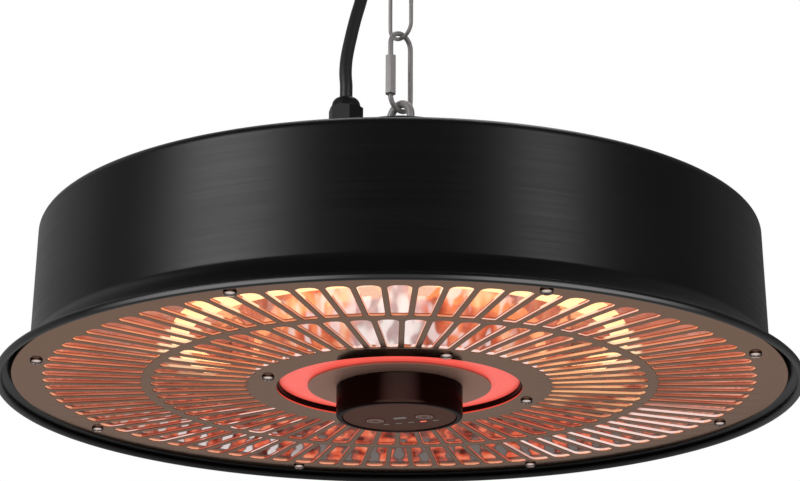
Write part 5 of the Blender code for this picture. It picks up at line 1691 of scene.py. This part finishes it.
@dataclass
class Grille(Assembly):
    """The copper-coloured plate with its two rings of slots, whose edges are bent into the drum.

    Attributes:
        radius: the plate's radius.
        hole: its middle hole's radius.
        sheet: its thickness.
        edge: the radius of its edges.
        flange: the heights from and to which the bent edges reach.
        lip: the bent edges' thickness.
        ease: how far their tops are eased.
        rings: the two rings of slots.
        circles: for each kind of screw, where the screws stand and their angles in degrees.
    """

    radius: float = 0.204
    hole: float = 0.0651
    sheet: float = 0.0012
    edge: float = 0.0004
    flange: tuple[float, float] = (0.0007, 0.0021)
    lip: float = 0.0006
    ease: float = 0.00025
    rings: tuple = (
        SlotRing(80, 0.1367, 0.1878, math.radians(-90), 0.0012, 0.0058),
        SlotRing(60, 0.0807, 0.1314, math.radians(-86.5), 0.0022, 0.0050),
    )
    circles: tuple = (
        ("grille_screw", 0.193, (22.0, 66.0, 108.2, 152.1, 196.7, 246.0, 290.5, 337.8)),
        ("carrier_screw", 0.0725, (19.0, 109.0, 199.0, 289.0)),
    )

    def slot_edges(self, ring: SlotRing) -> bpy.types.Object:
        """The bent edges of a ring's slots.

        Args:
            ring: the ring of slots.

        Returns:
            The new object.
        """
        low, high = self.flange
        corners = [(0.0, low), (0.0, high), (self.lip, high), (self.lip, low)]
        section = eased(corners, [0, self.ease, self.ease, 0], 3)
        rows = np.stack([ring.outlines(shift) for shift, _ in section], axis=1)
        grid = np.zeros((*rows.shape[:3], 3))
        grid[..., :2] = rows
        grid[..., 2] = FACE + section[None, :, 1:]
        return surface(f"slot_edges_{ring.count}", grid, (True, True), 40.0)

    def build(self) -> None:
        """Make the plate, the slots' bent edges and the screws."""
        outlines = [circle(self.radius, 256), circle(self.hole, 128)]
        edges = []
        for ring in self.rings:
            outlines += list(ring.outlines(0.0))
            edges.append(self.slot_edges(ring))
        plate = slab("grille_plate_dressed", outlines, FACE, FACE + self.sheet, self.edge)
        self.fit(plate, Look.COPPER, "grille_plate")
        for edge in edges:
            self.fit(edge, Look.EDGE)
        for prefix, radius, angles in self.circles:
            places = polar(radius, np.radians(angles))
            Screws(self.palette, names=self.names, prefix=prefix, places=places, seat=FACE - GAP).build()


@dataclass
class Lamp(Assembly):
    """The ring lamp: quartz tube, coiled filament, and the polished reflector round them.

    Attributes:
        radius: the ring's radius.
        height: its height above the grille's face.
        tube: the tube's diameter.
        wall: its wall.
        gap: the middle of its gap, in degrees.
        opening: half of the gap's angle, in degrees.
        coil: the filament's diameter.
        pitch: the filament's pitch.
        thread: what the wire takes of the filament's diameter.
        strand: the wire's radius.
        profile: the reflector's corners in radius and height.
        ease: how far each of them is eased.
        sheet: the reflector's thickness.
        clips: the angles of the clips that hold the tube, in degrees.
        clip: their thickness, their stems' half width and height, and half their depth.
    """

    radius: float = 0.117
    height: float = 0.0265
    tube: float = 0.010
    wall: float = 0.001
    gap: float = -91.0
    opening: float = 9.0
    coil: float = 0.0022
    pitch: float = 0.0024
    thread: float = 0.0005
    strand: float = 0.00027
    profile: tuple = ((0.0757, 0.0035), (0.084, 0.043), (0.168, 0.043), (0.1870, 0.0036))
    ease: tuple = (0.0, 0.006, 0.012, 0.0)
    sheet: float = 0.0008
    clips: tuple = (32.0, 146.0)
    clip: tuple[float, float, float, float] = (0.0012, 0.0033, 0.0167, 0.00125)

    def ring(self, steps: int) -> Array:
        """The lamp's middle line.

        Args:
            steps: how many points.

        Returns:
            The points, steps by 3.
        """
        angle = np.radians(np.linspace(self.gap + self.opening, self.gap + 360 - self.opening, steps))
        return np.column_stack([polar(self.radius, angle), np.full(steps, FACE + self.height)])

    def filament(self) -> bpy.types.Object:
        """The filament, a helix about the ring: line + r (cos t outwards + sin t up).

        Returns:
            The new object.
        """
        line = self.ring(9001)
        t = 2 * math.pi * np.linspace(0.0, length_of(line) / self.pitch, len(line))[:, None]
        outwards = unit(line * (1.0, 1.0, 0.0))
        helix = line + (self.coil - self.thread) / 2 * (np.cos(t) * outwards + np.sin(t) * np.array(UP))
        return surface("filament_dressed", capped(swept(helix[::3], circle(self.strand, 5), UP)))

    def build(self) -> None:
        """Make the lamp and its reflector."""
        path = self.ring(260)
        outer = swept(path, circle(self.tube / 2, 24), UP)
        inner = swept(path, circle(self.tube / 2 - self.wall, 24), UP)
        tube = surface("quartz_tube_dressed", np.concatenate([outer, inner[::-1]]), (True, True))
        self.fit(tube, Look.QUARTZ, "quartz_tube")
        self.fit(self.filament(), Look.WIRE, "filament")
        profile = eased(self.profile, self.ease, 8, False)
        back = beside(profile, -self.sheet, closed=False)
        self.turned("reflector", np.concatenate([profile, back[::-1]]), Look.REFLECTOR, 192)
        for i, degrees in enumerate(self.clips):
            self.fit(self.tube_clip(i, degrees), Look.STEEL)

    def tube_clip(self, number: int, degrees: float) -> bpy.types.Object:
        """A clip round the tube, hung from the reflector.

        Args:
            number: the clip's number.
            degrees: its angle.

        Returns:
            The new object.
        """
        thick, stem, height, half = self.clip
        inner = self.tube / 2 + GAP
        outline = np.array([*arc((0.0, 0.0), inner + thick, 120, 420, 40), (stem, height), (-stem, height)])
        made = slab(f"lamp_clip_{number + 1}", [outline, circle(inner, 40)], -half, half, 0.0002)
        turn = math.radians(degrees)
        stand = Matrix.Rotation(turn, 4, "Z") @ Matrix.Rotation(math.pi / 2, 4, "X")
        place = (self.radius * math.cos(turn), self.radius * math.sin(turn), FACE + self.height)
        made.data.transform(Matrix.Translation(place) @ stand)
        return made


@dataclass
class LightRing(Assembly):
    """The red ring and the black channel that it sits in.

    Attributes:
        flange: the carrier flange's radius.
        outer: the carrier's outer radius.
        inner: its inner radius.
        wall: its wall.
        low: the height of its flange's lower face.
        foot: the height of its inner lip's lower face.
        height: its height.
        face: the height of the diffuser's edges.
        crown: how far the diffuser's middle hangs below its edges.
        skirt: how far its edges reach up, the width of its inner lip, and the lip's rise.
    """

    flange: float = 0.0765
    outer: float = 0.0657
    inner: float = 0.0455
    wall: float = 0.0017
    low: float = 0.0015
    foot: float = 0.0023
    height: float = 0.0135
    face: float = 0.0036
    crown: float = 0.0009
    skirt: Point = (0.003, 0.0012, 0.0001)

    def build(self) -> None:
        """Make the carrier, and the diffuser whose face hangs by crown (1 - u^2), u from -1 to 1 over it."""
        start, end = self.inner + self.wall, self.outer - self.wall
        section = [
            (self.flange, self.low),
            (self.flange, self.low + self.wall),
            (self.outer, self.low + self.wall),
            (self.outer, self.height),
            (self.inner, self.height),
            (self.inner, self.foot),
            (start, self.foot),
            (start, self.height - self.wall),
            (end, self.height - self.wall),
            (end, self.low),
        ]
        self.turned("light_ring_carrier", eased(section, 0.0003, 3), Look.GLOSS)
        start, end = start + GAP, end - GAP
        u = np.linspace(-1.0, 1.0, 17)
        radius = (start + end) / 2 + u * (end - start) / 2
        crown = np.stack([radius, self.face - self.crown * (1 - u**2)], axis=-1)
        reach, wide, rise = self.skirt
        skirt = [(start, self.face + reach), (start, self.foot), (start + wide, self.foot + rise)]
        outline = np.concatenate([crown[3:], [(end, self.face + reach)], skirt])
        self.turned("light_ring", outline, Look.DIFFUSER)


@dataclass
class ControlHub(Assembly):
    """The copper disc, the black hub below it, and the panel with its keys and windows.

    Attributes:
        disc: the disc's radius, and the heights of its faces.
        stem: the radius of the hole for the stem.
        radius: the hub's radius.
        top: the heights of the hub's upper face and of its floor's lower side.
        drop: how far it hangs below the grille's face.
        edge: how far its lower edge is eased.
        sink: how deep the panel's seat lies in it, and how wide the seat's groove is.
        panel: the panel's radius, its thickness, and how far its face lies inside the hub's mouth.
        turn: the panel's turn about Z.
        key: the keys' radius, how far they stand out, and how far inside the panel's face their flanges lie.
        flange: the keys' flanges' radius and thickness.
        window: the infrared window's place and size on the panel.
        lights: the row of windows: its middle, pitch and each window's size.
        lit: which window is lit.
    """

    disc: Point = (0.0487, 0.0008, 0.002)
    stem: float = 0.0063
    radius: float = 0.0335
    top: tuple[float, float] = (0.0005, -0.0015)
    drop: float = 0.016
    edge: float = 0.0022
    sink: tuple[float, float] = (0.0022, 0.0013)
    panel: Point = (0.030, 0.0026, 0.0006)
    turn: float = math.radians(-20)
    key: Point = (0.0049, 0.0004, 0.0029)
    flange: tuple[float, float] = (0.0058, 0.0005)
    window: tuple = ((-0.0006, 0.0022), (0.0072, 0.0034))
    lights: tuple = ((0.0018, 0.0131), 0.00695, (0.0034, 0.0015))
    lit: int = 3

    def on_panel(self, place: Sequence[float]) -> tuple[float, float]:
        """A place on the panel, turned with it into the object's frame."""
        cos, sin = math.cos(self.turn), math.sin(self.turn)
        return place[0] * cos - place[1] * sin, place[0] * sin + place[1] * cos

    def pane(
        self, name: str, size: Sequence[float], corner: float, place: Sequence[float], low: float
    ) -> bpy.types.Object:
        """A pane that stands a little out of the panel.

        Args:
            name: its name.
            size: its width and depth.
            corner: how far its corners are eased.
            place: where it stands.
            low: the panel's lower face.

        Returns:
            The new object.
        """
        outline = rounded_box(size, corner, place, self.turn)
        return slab(name, [outline], low - 5e-5, low + self.panel[1], 2e-4)

    def shell(self) -> None:
        """Make the disc and the hub's cup."""
        disc, low, high = self.disc
        ring = eased([(self.stem, low), (disc, low), (disc, high), (self.stem, high)], 0.0003, 3)
        self.turned("hub_disc", ring, Look.DISC)
        upper, floor = self.top
        depth, groove = self.sink
        mouth = self.panel[0] + GAP
        section = [
            (self.stem, upper),
            (self.radius, upper),
            (self.radius, -self.drop),
            (mouth, -self.drop),
            (mouth, depth - self.drop),
            (self.panel[0] + groove, depth - self.drop),
            (self.panel[0] + groove, floor),
            (self.stem, floor),
        ]
        outline = eased(section, [0.0, 0.0002, self.edge, 0.0005, 0.0, 0.0, 0.0, 0.0], 7)
        self.turned("hub_housing", outline, Look.GLOSS)

    def build(self) -> None:
        """Make the hub."""
        self.shell()
        radius, thick, inset = self.panel
        face = FACE - self.drop + inset
        key, out, lip = self.key
        place, size = self.window
        (x, y), pitch, light = self.lights
        window = self.on_panel(place)
        spots = [self.on_panel((x + (i - 2) * pitch, y)) for i in range(5)]
        holes = [circle(key + 0.0002, 64, centre) for centre in KEY_CENTRES.values()]
        holes.append(rounded_box(np.add(size, GAP), 0.0008, window, self.turn))
        holes += [rounded_box(np.add(light, GAP), 0.0004, spot, self.turn) for spot in spots]
        panel = slab("control_panel_dressed", [circle(radius, 128), *holes], face, face + thick, 0.0002)
        self.fit(panel, Look.PANEL, "control_panel")
        glass = self.pane("infrared_window_dressed", size, 0.0007, window, face)
        self.fit(glass, Look.LENS, "infrared_window")
        panes = [self.pane(f"indicator_{i + 1}", light, 0.0003, spot, face) for i, spot in enumerate(spots)]
        lit = panes.pop(self.lit)
        self.fit(merged("indicators_dressed", panes), Look.LENS, "indicator_lens")
        self.fit(lit, Look.LIT_LENS)
        wide, flange = self.flange
        cap = [(0.0, lip + flange), (wide, lip + flange), (wide, lip), (key, lip), (key, -out), (0.0, -out)]
        cap = eased(cap, [0, 0.0001, 0.0001, 0.0001, 0.0007, 0], closed=False)
        for body, centre in KEY_CENTRES.items():
            self.turned(body.value, cap, Look.KEY, 64, False, (*centre, face), body=body)


@dataclass
class Gland(Assembly):
    """The cable gland on the roof: seal, hexagonal body, and nut with its dome.

    Attributes:
        place: its X and Y.
        flats: its hexagons' width.
        turn: their turn about Z.
        mouth: the radius of its mouth.
        bore: the radius of the seal's and the nut's bore.
        seal: the seal's radius, and the heights of its faces.
        body_ends: the heights of the body's ends.
        nut_ends: the heights of the ends of the nut's hexagon.
        dome: the dome's points in radius and height, from its foot to the edge of the mouth.
        rim: the height of the mouth's rim.
    """

    place: tuple[float, float] = (-0.029, -0.040)
    flats: float = 0.0168
    turn: float = math.radians(42)
    mouth: float = 0.0037
    bore: float = 0.0069
    seal: Point = (0.0105, 0.1238, 0.1253)
    body_ends: tuple[float, float] = (0.1256, 0.1310)
    nut_ends: tuple[float, float] = (0.1313, 0.1437)
    dome: tuple = ((0.0080, 0.1425), (0.0079, 0.1440), (0.0072, 0.1470), (0.0058, 0.1487), (0.0044, 0.1489))
    rim: float = 0.1484

    def build(self) -> None:
        """Make the gland."""
        at = (*self.place, FACE)
        wide, low, high = self.seal
        seal = eased([(self.bore, low), (wide, low), (wide, high), (self.bore, high)], 0.0005)
        self.turned("gland_seal", seal, Look.RUBBER, 64, at=at)
        body = hexagon("gland_body_dressed", self.flats, *self.body_ends, self.mouth, self.turn, at)
        self.fit(body, Look.PLASTIC, "gland_body")
        nut = hexagon("gland_hex", self.flats, *self.nut_ends, self.bore, self.turn, at)
        dome = [*self.dome, (self.mouth, self.rim), (self.mouth, self.dome[0][1])]
        cap = lathe("gland_dome", eased(dome, 0.0010, 4), 72, at=at, crease=50.0)
        self.fit(merged("gland_nut_dressed", [nut, cap]), Look.PLASTIC, "gland_nut")


@dataclass
class MainsLead(Assembly):
    """The mains lead: the free stretch in three pieces, the coil and tail on the hook, plug and strap.

    Attributes:
        diameter: the lead's diameter.
        start: where it leaves the gland.
        route: the free stretch's points, with heights from the grille's face.
        bodies: the bodies that the free stretch runs past, from the heater to the ceiling.
        turns: the coil's turns, and its layers.
        first: the coil's first angle in degrees.
        radius: its outer turns' radius.
        pitch: the step between turns and between layers.
        drop: from the ceiling to its middle.
        aside: its middle's X.
        tail: the tail's points.
        plug: where the tail ends in the plug.
    """

    body: Body = Body.CEILING
    diameter: float = 0.0068
    start: Point = (-0.029, -0.040, -0.2066)
    route: tuple = (
        (-0.0290, -0.0400, 0.1565),
        (-0.0295, -0.0388, 0.1645),
        (-0.0290, -0.0362, 0.1745),
        (-0.0270, -0.0325, 0.1875),
        (-0.0246, -0.0283, 0.2005),
        (-0.0221, -0.0240, 0.2121),
        (-0.0192, -0.0196, 0.2265),
        (-0.0160, -0.0155, 0.2430),
        (-0.0128, -0.0124, 0.2620),
    )
    bodies: tuple = (Body.HEATER, Body.QUICK, Body.CHAIN, Body.CEILING)
    turns: tuple = (6.25, 4)
    first: float = -15.0
    radius: float = 0.046
    pitch: float = 0.0073
    drop: float = 0.056
    aside: float = -0.0523
    tail: tuple = (
        (-0.0602, 0.0135, -0.0096),
        (-0.0735, 0.0182, -0.0145),
        (-0.0815, 0.0225, -0.0255),
        (-0.0852, 0.0258, -0.0430),
    )
    plug: Point = (-0.0852, 0.0258, -0.0500)

    def coil(self) -> Array:
        """The coil's middle line: it spirals in and out in layers and climbs half a turn at each reversal.

        Returns:
            The points, n by 3.
        """
        count, layers = self.turns
        turn = np.linspace(0.0, count, round(count * 72) + 1)
        angle = math.radians(self.first) + 2 * math.pi * turn
        in_layer = count / layers
        layer = np.minimum(np.floor(turn / in_layer), layers - 1)
        inward = turn - layer * in_layer
        inward = np.where(layer % 2 == 1, in_layer - inward, inward)
        depth = np.full(len(turn), -self.pitch * (layers - 1) / 2)
        for reversal in range(1, layers):
            share = np.clip((turn - reversal * in_layer) / 0.5 + 0.5, 0.0, 1.0)
            depth += self.pitch * share * share * (3 - 2 * share)
        radius = self.radius - self.pitch * inward
        aside, height = self.aside + radius * np.cos(angle), radius * np.sin(angle) - self.drop
        return np.stack([aside, depth, height], axis=-1)

    def build(self) -> None:
        """Make the lead."""
        coil = self.coil()
        run_in = coil[0] + unit(coil[0] - coil[1]) * self.diameter
        lifted = [(x, y, z + FACE) for x, y, z in self.route]
        free = spaced(smooth_route([self.start, *lifted, run_in, coil[0]]), 0.0012)
        section = circle(self.diameter / 2, 24)
        grid = swept(free, section, AHEAD)
        cuts = np.linspace(0, len(free) - 1, len(self.bodies)).astype(int)
        nodes = [("mains_cord",), (), ()]
        for i, (low, high) in enumerate(zip(cuts, cuts[1:])):
            piece = surface(f"lead_{i + 1}", capped(grid[low : high + 1]))
            self.fit(piece, Look.RUBBER, *nodes[i], rides=False)
            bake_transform(piece)
        run_out = coil[-1] + unit(coil[-1] - coil[-2]) * self.diameter
        tail = spaced(smooth_route([coil[-1], run_out, *self.tail, self.plug]), 0.0015)
        whole = np.concatenate([coil, tail[1:]])
        rest = surface("lead_coil", capped(swept(whole, section, AHEAD)))
        self.fit(rest, Look.RUBBER, "cord_coil", "cord_tail")
        plug = Plug(self.palette, names=self.names, entry=self.plug)
        fittings = [plug.relief(), plug.pins(), self.strap()]
        LOG.info("lead: %.3f m free, %.3f m coiled", length_of(free), length_of(whole))

    def strap(self) -> bpy.types.Object:
        """The strap that holds the coil to the hook.

        Returns:
            The new object.
        """
        thick, half, shank = 0.0012, 0.006, 0.0023
        hollow = self.radius - self.turns[0] / self.turns[1] * self.pitch - self.diameter / 2
        left = self.aside + math.sqrt(hollow**2 - half**2) - thick / 2
        side = self.pitch * 1.5 + self.diameter / 2 + GAP + thick / 2
        outer = self.aside + self.radius + self.diameter / 2 + thick / 2
        bend = arc((0.0, 0.0), shank + GAP + thick / 2, -60, 60, 12)
        route = np.concatenate([[(left, -side), (outer, -side)], bend, [(outer, side), (left, side)]])
        line = eased(route, [0.003, 0.0015, *[0.0] * len(bend), 0.0015, 0.003], 6)
        path = np.column_stack([line, np.full(len(line), -self.drop)])
        section = rounded_box((thick, 2 * half), 0.0004, (0.0, 0.0))
        band = surface("strap_band", swept(path, section, UP, closed=True), (True, True))
        outline = rounded_box((0.0060, 0.0026), 0.0006, ((left + outer) / 2, -side - thick))
        head = slab("strap_head", [outline], -self.drop - half, -self.drop + half, 0.0004)
        return self.fit(merged("cord_tie_dressed", [band, head]), Look.RUBBER, "cord_tie")


@dataclass
class Plug(Assembly):
    """The plug at the lead's end: a ribbed relief that runs into an oval body, and two round pins.

    Attributes:
        entry: where the lead enters it.
        ribs: where the ribbed stretch starts and ends, its radius, the ribs' depth and their number.
        start_rows: the rows of the ribbed stretch's start: depth, half width and half thickness.
        body_rows: the rows of the body's start, the same.
        swell: how long the body goes on widening, and how much its half width and half thickness grow.
        end_rows: the rows of the body's end, the same.
        lengths: the ribbed stretch's and the body's length.
        pin: the pins' radius, length, and distance from the middle.
        plate: the width, depth and thickness of the plate that carries them.
    """

    body: Body = Body.CEILING
    entry: Point = ORIGIN
    ribs: tuple = (0.0012, 0.0134, 0.0047, 0.00045, 5)
    start_rows: tuple = ((0.0, 0.0, 0.0), (0.0, 0.0040, 0.0040), (0.0006, 0.0046, 0.0046))
    body_rows: tuple = ((0.0140, 0.0060, 0.0056), (0.0146, 0.0098, 0.0064), (0.0160, 0.0110, 0.0070))
    swell: tuple = (0.0200, 0.0058, 0.0036)
    end_rows: tuple = ((0.0374, 0.0168, 0.0106), (0.0379, 0.0160, 0.0098), (0.0379, 0.0, 0.0))
    lengths: tuple[float, float] = (0.014, 0.024)
    pin: Point = (0.0024, 0.0206, 0.0095)
    plate: Point = (0.019, 0.007, 0.0016)

    def relief(self) -> bpy.types.Object:
        """The ribbed relief and the body, whose half width w grows as w + growth share^0.8.

        Returns:
            The new object.
        """
        x, y, top = self.entry
        start, end, radius, depth, count = self.ribs
        ribs = np.linspace(start, end, 40)
        wide = radius + depth * np.sin(ribs / end * 2 * math.pi * count)
        share = np.linspace(0.1, 1, 12)
        growth = np.column_stack([share, share**0.8, share**0.8]) * self.swell
        rows = [self.start_rows, np.column_stack([ribs, wide, wide]), self.body_rows]
        rows = np.concatenate([*rows, self.body_rows[-1] + growth, self.end_rows])
        down, across, along = rows.T
        grid = ovals(across[:, None], along[:, None], -down, turns(56), (x, y, top - GAP))
        return self.fit(surface("plug_dressed", grid, crease=50.0), Look.RUBBER, "plug_body")

    def pins(self) -> bpy.types.Object:
        """The plug's two round pins on their plate.

        Returns:
            The new object.
        """
        x, y, top = self.entry
        radius, length, aside = self.pin
        width, depth, thick = self.plate
        face = top - GAP - sum(self.lengths) - GAP
        plate = slab("pin_plate", [rounded_box((width, depth), 0.002, (x, y))], face - thick, face, 0.0003)
        corners = [(0.0, 0.0), (radius, 0.0), (radius, -length), (0.0, -length)]
        outline = eased(corners, [0, 0, 0.0014, 0], 6, False)
        places = [(x + side * aside, y, face - 0.0004) for side in (-1, 1)]
        pins = [lathe(f"pin_{i}", outline, 32, False, place) for i, place in enumerate(places)]
        return self.fit(merged("plug_pins_dressed", [plate, *pins]), Look.STEEL, "plug_pins")


@dataclass
class Studio:
    """Floor, light and camera.

    Attributes:
        floor: the floor's height.
        reach: how far the floor and the wall reach.
        far: how far behind the heater the wall stands.
        pale: the floor's colour.
        eye: the camera's place.
        pitch: how far it looks up, in degrees.
        roll: its roll in degrees.
        lens: its lens in millimetres.
        ambient: the surroundings' light.
        room: how bright the room behind the camera shows in metal and paint.
        sheen: how bright the wall behind the heater shows in them, more on the left and less on the right.
        aim: what the lamps face.
        lamps: each lamp's name, place, width and height, and power in watts.
    """

    floor: float = -2.4
    reach: float = 30.0
    far: float = 9.0
    pale: Colour = (0.82, 0.82, 0.82)
    eye: Point = (0.0, -1.2599, -0.6832)
    pitch: float = 18.034
    roll: float = 0.192
    lens: float = 110.25
    ambient: float = 0.42
    room: float = 0.04
    sheen: float = 0.30
    aim: Point = (0.0, 0.0, -0.30)
    lamps: tuple = (
        ("left", (-1.9, -1.5, 0.45), (1.3, 1.1), 27.0),
        ("right", (1.6, -1.7, 0.5), (0.7, 0.9), 10.0),
        ("above", (0.2, 0.9, 2.0), (1.6, 1.2), 16.0),
    )

    def camera(self) -> None:
        """Make the camera: its right and up axes are turned by the roll about the way that it looks."""
        data = bpy.data.cameras.new("camera")
        data.lens = self.lens
        made = placed("camera", data)
        pitch, roll = math.radians(self.pitch), math.radians(self.roll)
        ahead = Vector((0.0, math.cos(pitch), math.sin(pitch)))
        right = Vector((1.0, 0.0, 0.0))
        above = right.cross(ahead)
        across = right * math.cos(roll) + above * math.sin(roll)
        up = above * math.cos(roll) - right * math.sin(roll)
        turn = Matrix((across, up, -ahead)).transposed().to_4x4()
        made.matrix_world = Matrix.Translation(self.eye) @ turn
        bpy.context.scene.camera = made

    def screen(self, name: str, corners: Sequence[Point]) -> Shading:
        """Make a flat four-sided piece of the studio.

        Args:
            name: its name.
            corners: its corners.

        Returns:
            Its material's shading.
        """
        mesh = bpy.data.meshes.new(name)
        mesh.from_pydata(corners, [], [(0, 1, 2, 3)])
        made = placed(name, mesh)
        shading = Shading(name)
        mesh.materials.append(shading.material)
        return shading

    def ground(self) -> None:
        """Make the pale floor."""
        signs = ((-1, -1), (1, -1), (1, 1), (-1, 1))
        shading = self.screen("floor", [(x * self.reach, y * self.reach, self.floor) for x, y in signs])
        seen = shading.node("ShaderNodeLightPath", {}, {})
        shading.set(Base_Color=self.pale, Roughness=0.9)
        shading.set(Emission_Color=WHITE, Emission_Strength=seen * self.ambient)

    def backdrop(self) -> None:
        """Make the white wall behind the heater, which metal shows and which adds no light to the rest's."""
        sides = ((-self.reach, self.reach), (self.reach, self.reach), (self.reach, self.floor))
        sides += ((-self.reach, self.floor),)
        shading = self.screen("backdrop", [(x, self.far, z) for x, z in sides])
        bare = shading.node("ShaderNodeLightPath", {}, {}, 2)
        glossy = shading.node("ShaderNodeLightPath", {}, {}, 3)
        x, _, z, _ = shading.place()
        sheen = self.sheen * (1.4 - shading.step(x, -6.0, 6.0) * 0.9)
        sheen = sheen * (1.0 - shading.step(z, 0.0, 1.5) * (1.0 - shading.step(abs(x), 0.8, 3.5)) * 0.9)
        strength = 1.0 - bare * (1.0 - self.ambient) - glossy * (1.0 - sheen)
        shading.set(Base_Color=BLACK, Roughness=1.0, Specular_IOR_Level=0.0)
        shading.set(Emission_Color=WHITE, Emission_Strength=strength)

    def surroundings(self) -> None:
        """Make the surroundings: white to the camera, grey light, dark where metal or paint shows them."""
        world = bpy.data.worlds.new("studio")
        bpy.context.scene.world = world
        world.use_nodes = True
        nodes, links = world.node_tree.nodes, world.node_tree.links
        path = nodes.new("ShaderNodeLightPath")
        seen, shown = nodes.new("ShaderNodeMix"), nodes.new("ShaderNodeMix")
        for mix, ray, level in ((shown, "Is Glossy Ray", self.room), (seen, "Is Camera Ray", 1.0)):
            mix.data_type = "RGBA"
            mix.inputs[7].default_value = (level, level, level, 1.0)
            links.new(path.outputs[ray], mix.inputs[0])
        shown.inputs[6].default_value = (self.ambient, self.ambient, self.ambient, 1.0)
        links.new(shown.outputs[2], seen.inputs[6])
        links.new(seen.outputs[2], nodes["Background"].inputs["Color"])

    def lamp(self, name: str, place: Point, size: tuple[float, float], power: float) -> None:
        """Make a soft light that faces the heater.

        Args:
            name: its name.
            place: where it stands.
            size: its width and height.
            power: its power in watts.
        """
        data = bpy.data.lights.new(name, "AREA")
        data.shape = "RECTANGLE"
        data.size, data.size_y = size
        data.energy = power
        made = placed(name, data)
        way = Vector(self.aim) - Vector(place)
        made.matrix_world = Matrix.Translation(place) @ way.to_track_quat("-Z", "Y").to_matrix().to_4x4()
        made.visible_camera = False

    def build(self) -> None:
        """Make the studio."""
        bpy.context.scene.view_settings.view_transform = "Standard"
        self.camera()
        self.ground()
        self.backdrop()
        self.surroundings()
        for lamp in self.lamps:
            self.lamp(*lamp)


def main() -> None:
    """Build every assembly in order on the frame."""
    logging.basicConfig(level=logging.INFO, format="%(message)s")
    for leftover in list(bpy.data.objects):
        bpy.data.objects.remove(leftover, do_unlink=True)
    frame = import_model()
    palette = Palette()
    palette.redress(frame["nodes"])
    Studio().build()
    ceiling_screws = Screws(
        palette,
        Body.CEILING,
        prefix="ceiling_screw",
        places=[(0.0, 0.0235), (0.0, -0.0235)],
        seat=-0.0028,
        head=(0.0042, 0.0026),
        shank=(0.0021, 0.024),
        look=Look.ZINC,
    )
    assemblies = [MainsLead(palette), CeilingFitting(palette), ceiling_screws]
    below = (Chain, EyeBolt, DrumHousing, Grille, Lamp, LightRing, ControlHub, Gland)
    for assembly in [*assemblies, *(kind(palette) for kind in below)]:
        assembly.build()
        LOG.info("%s: %d pieces", type(assembly).__name__, len(assembly.names))


if __name__ == "__main__":
    main()
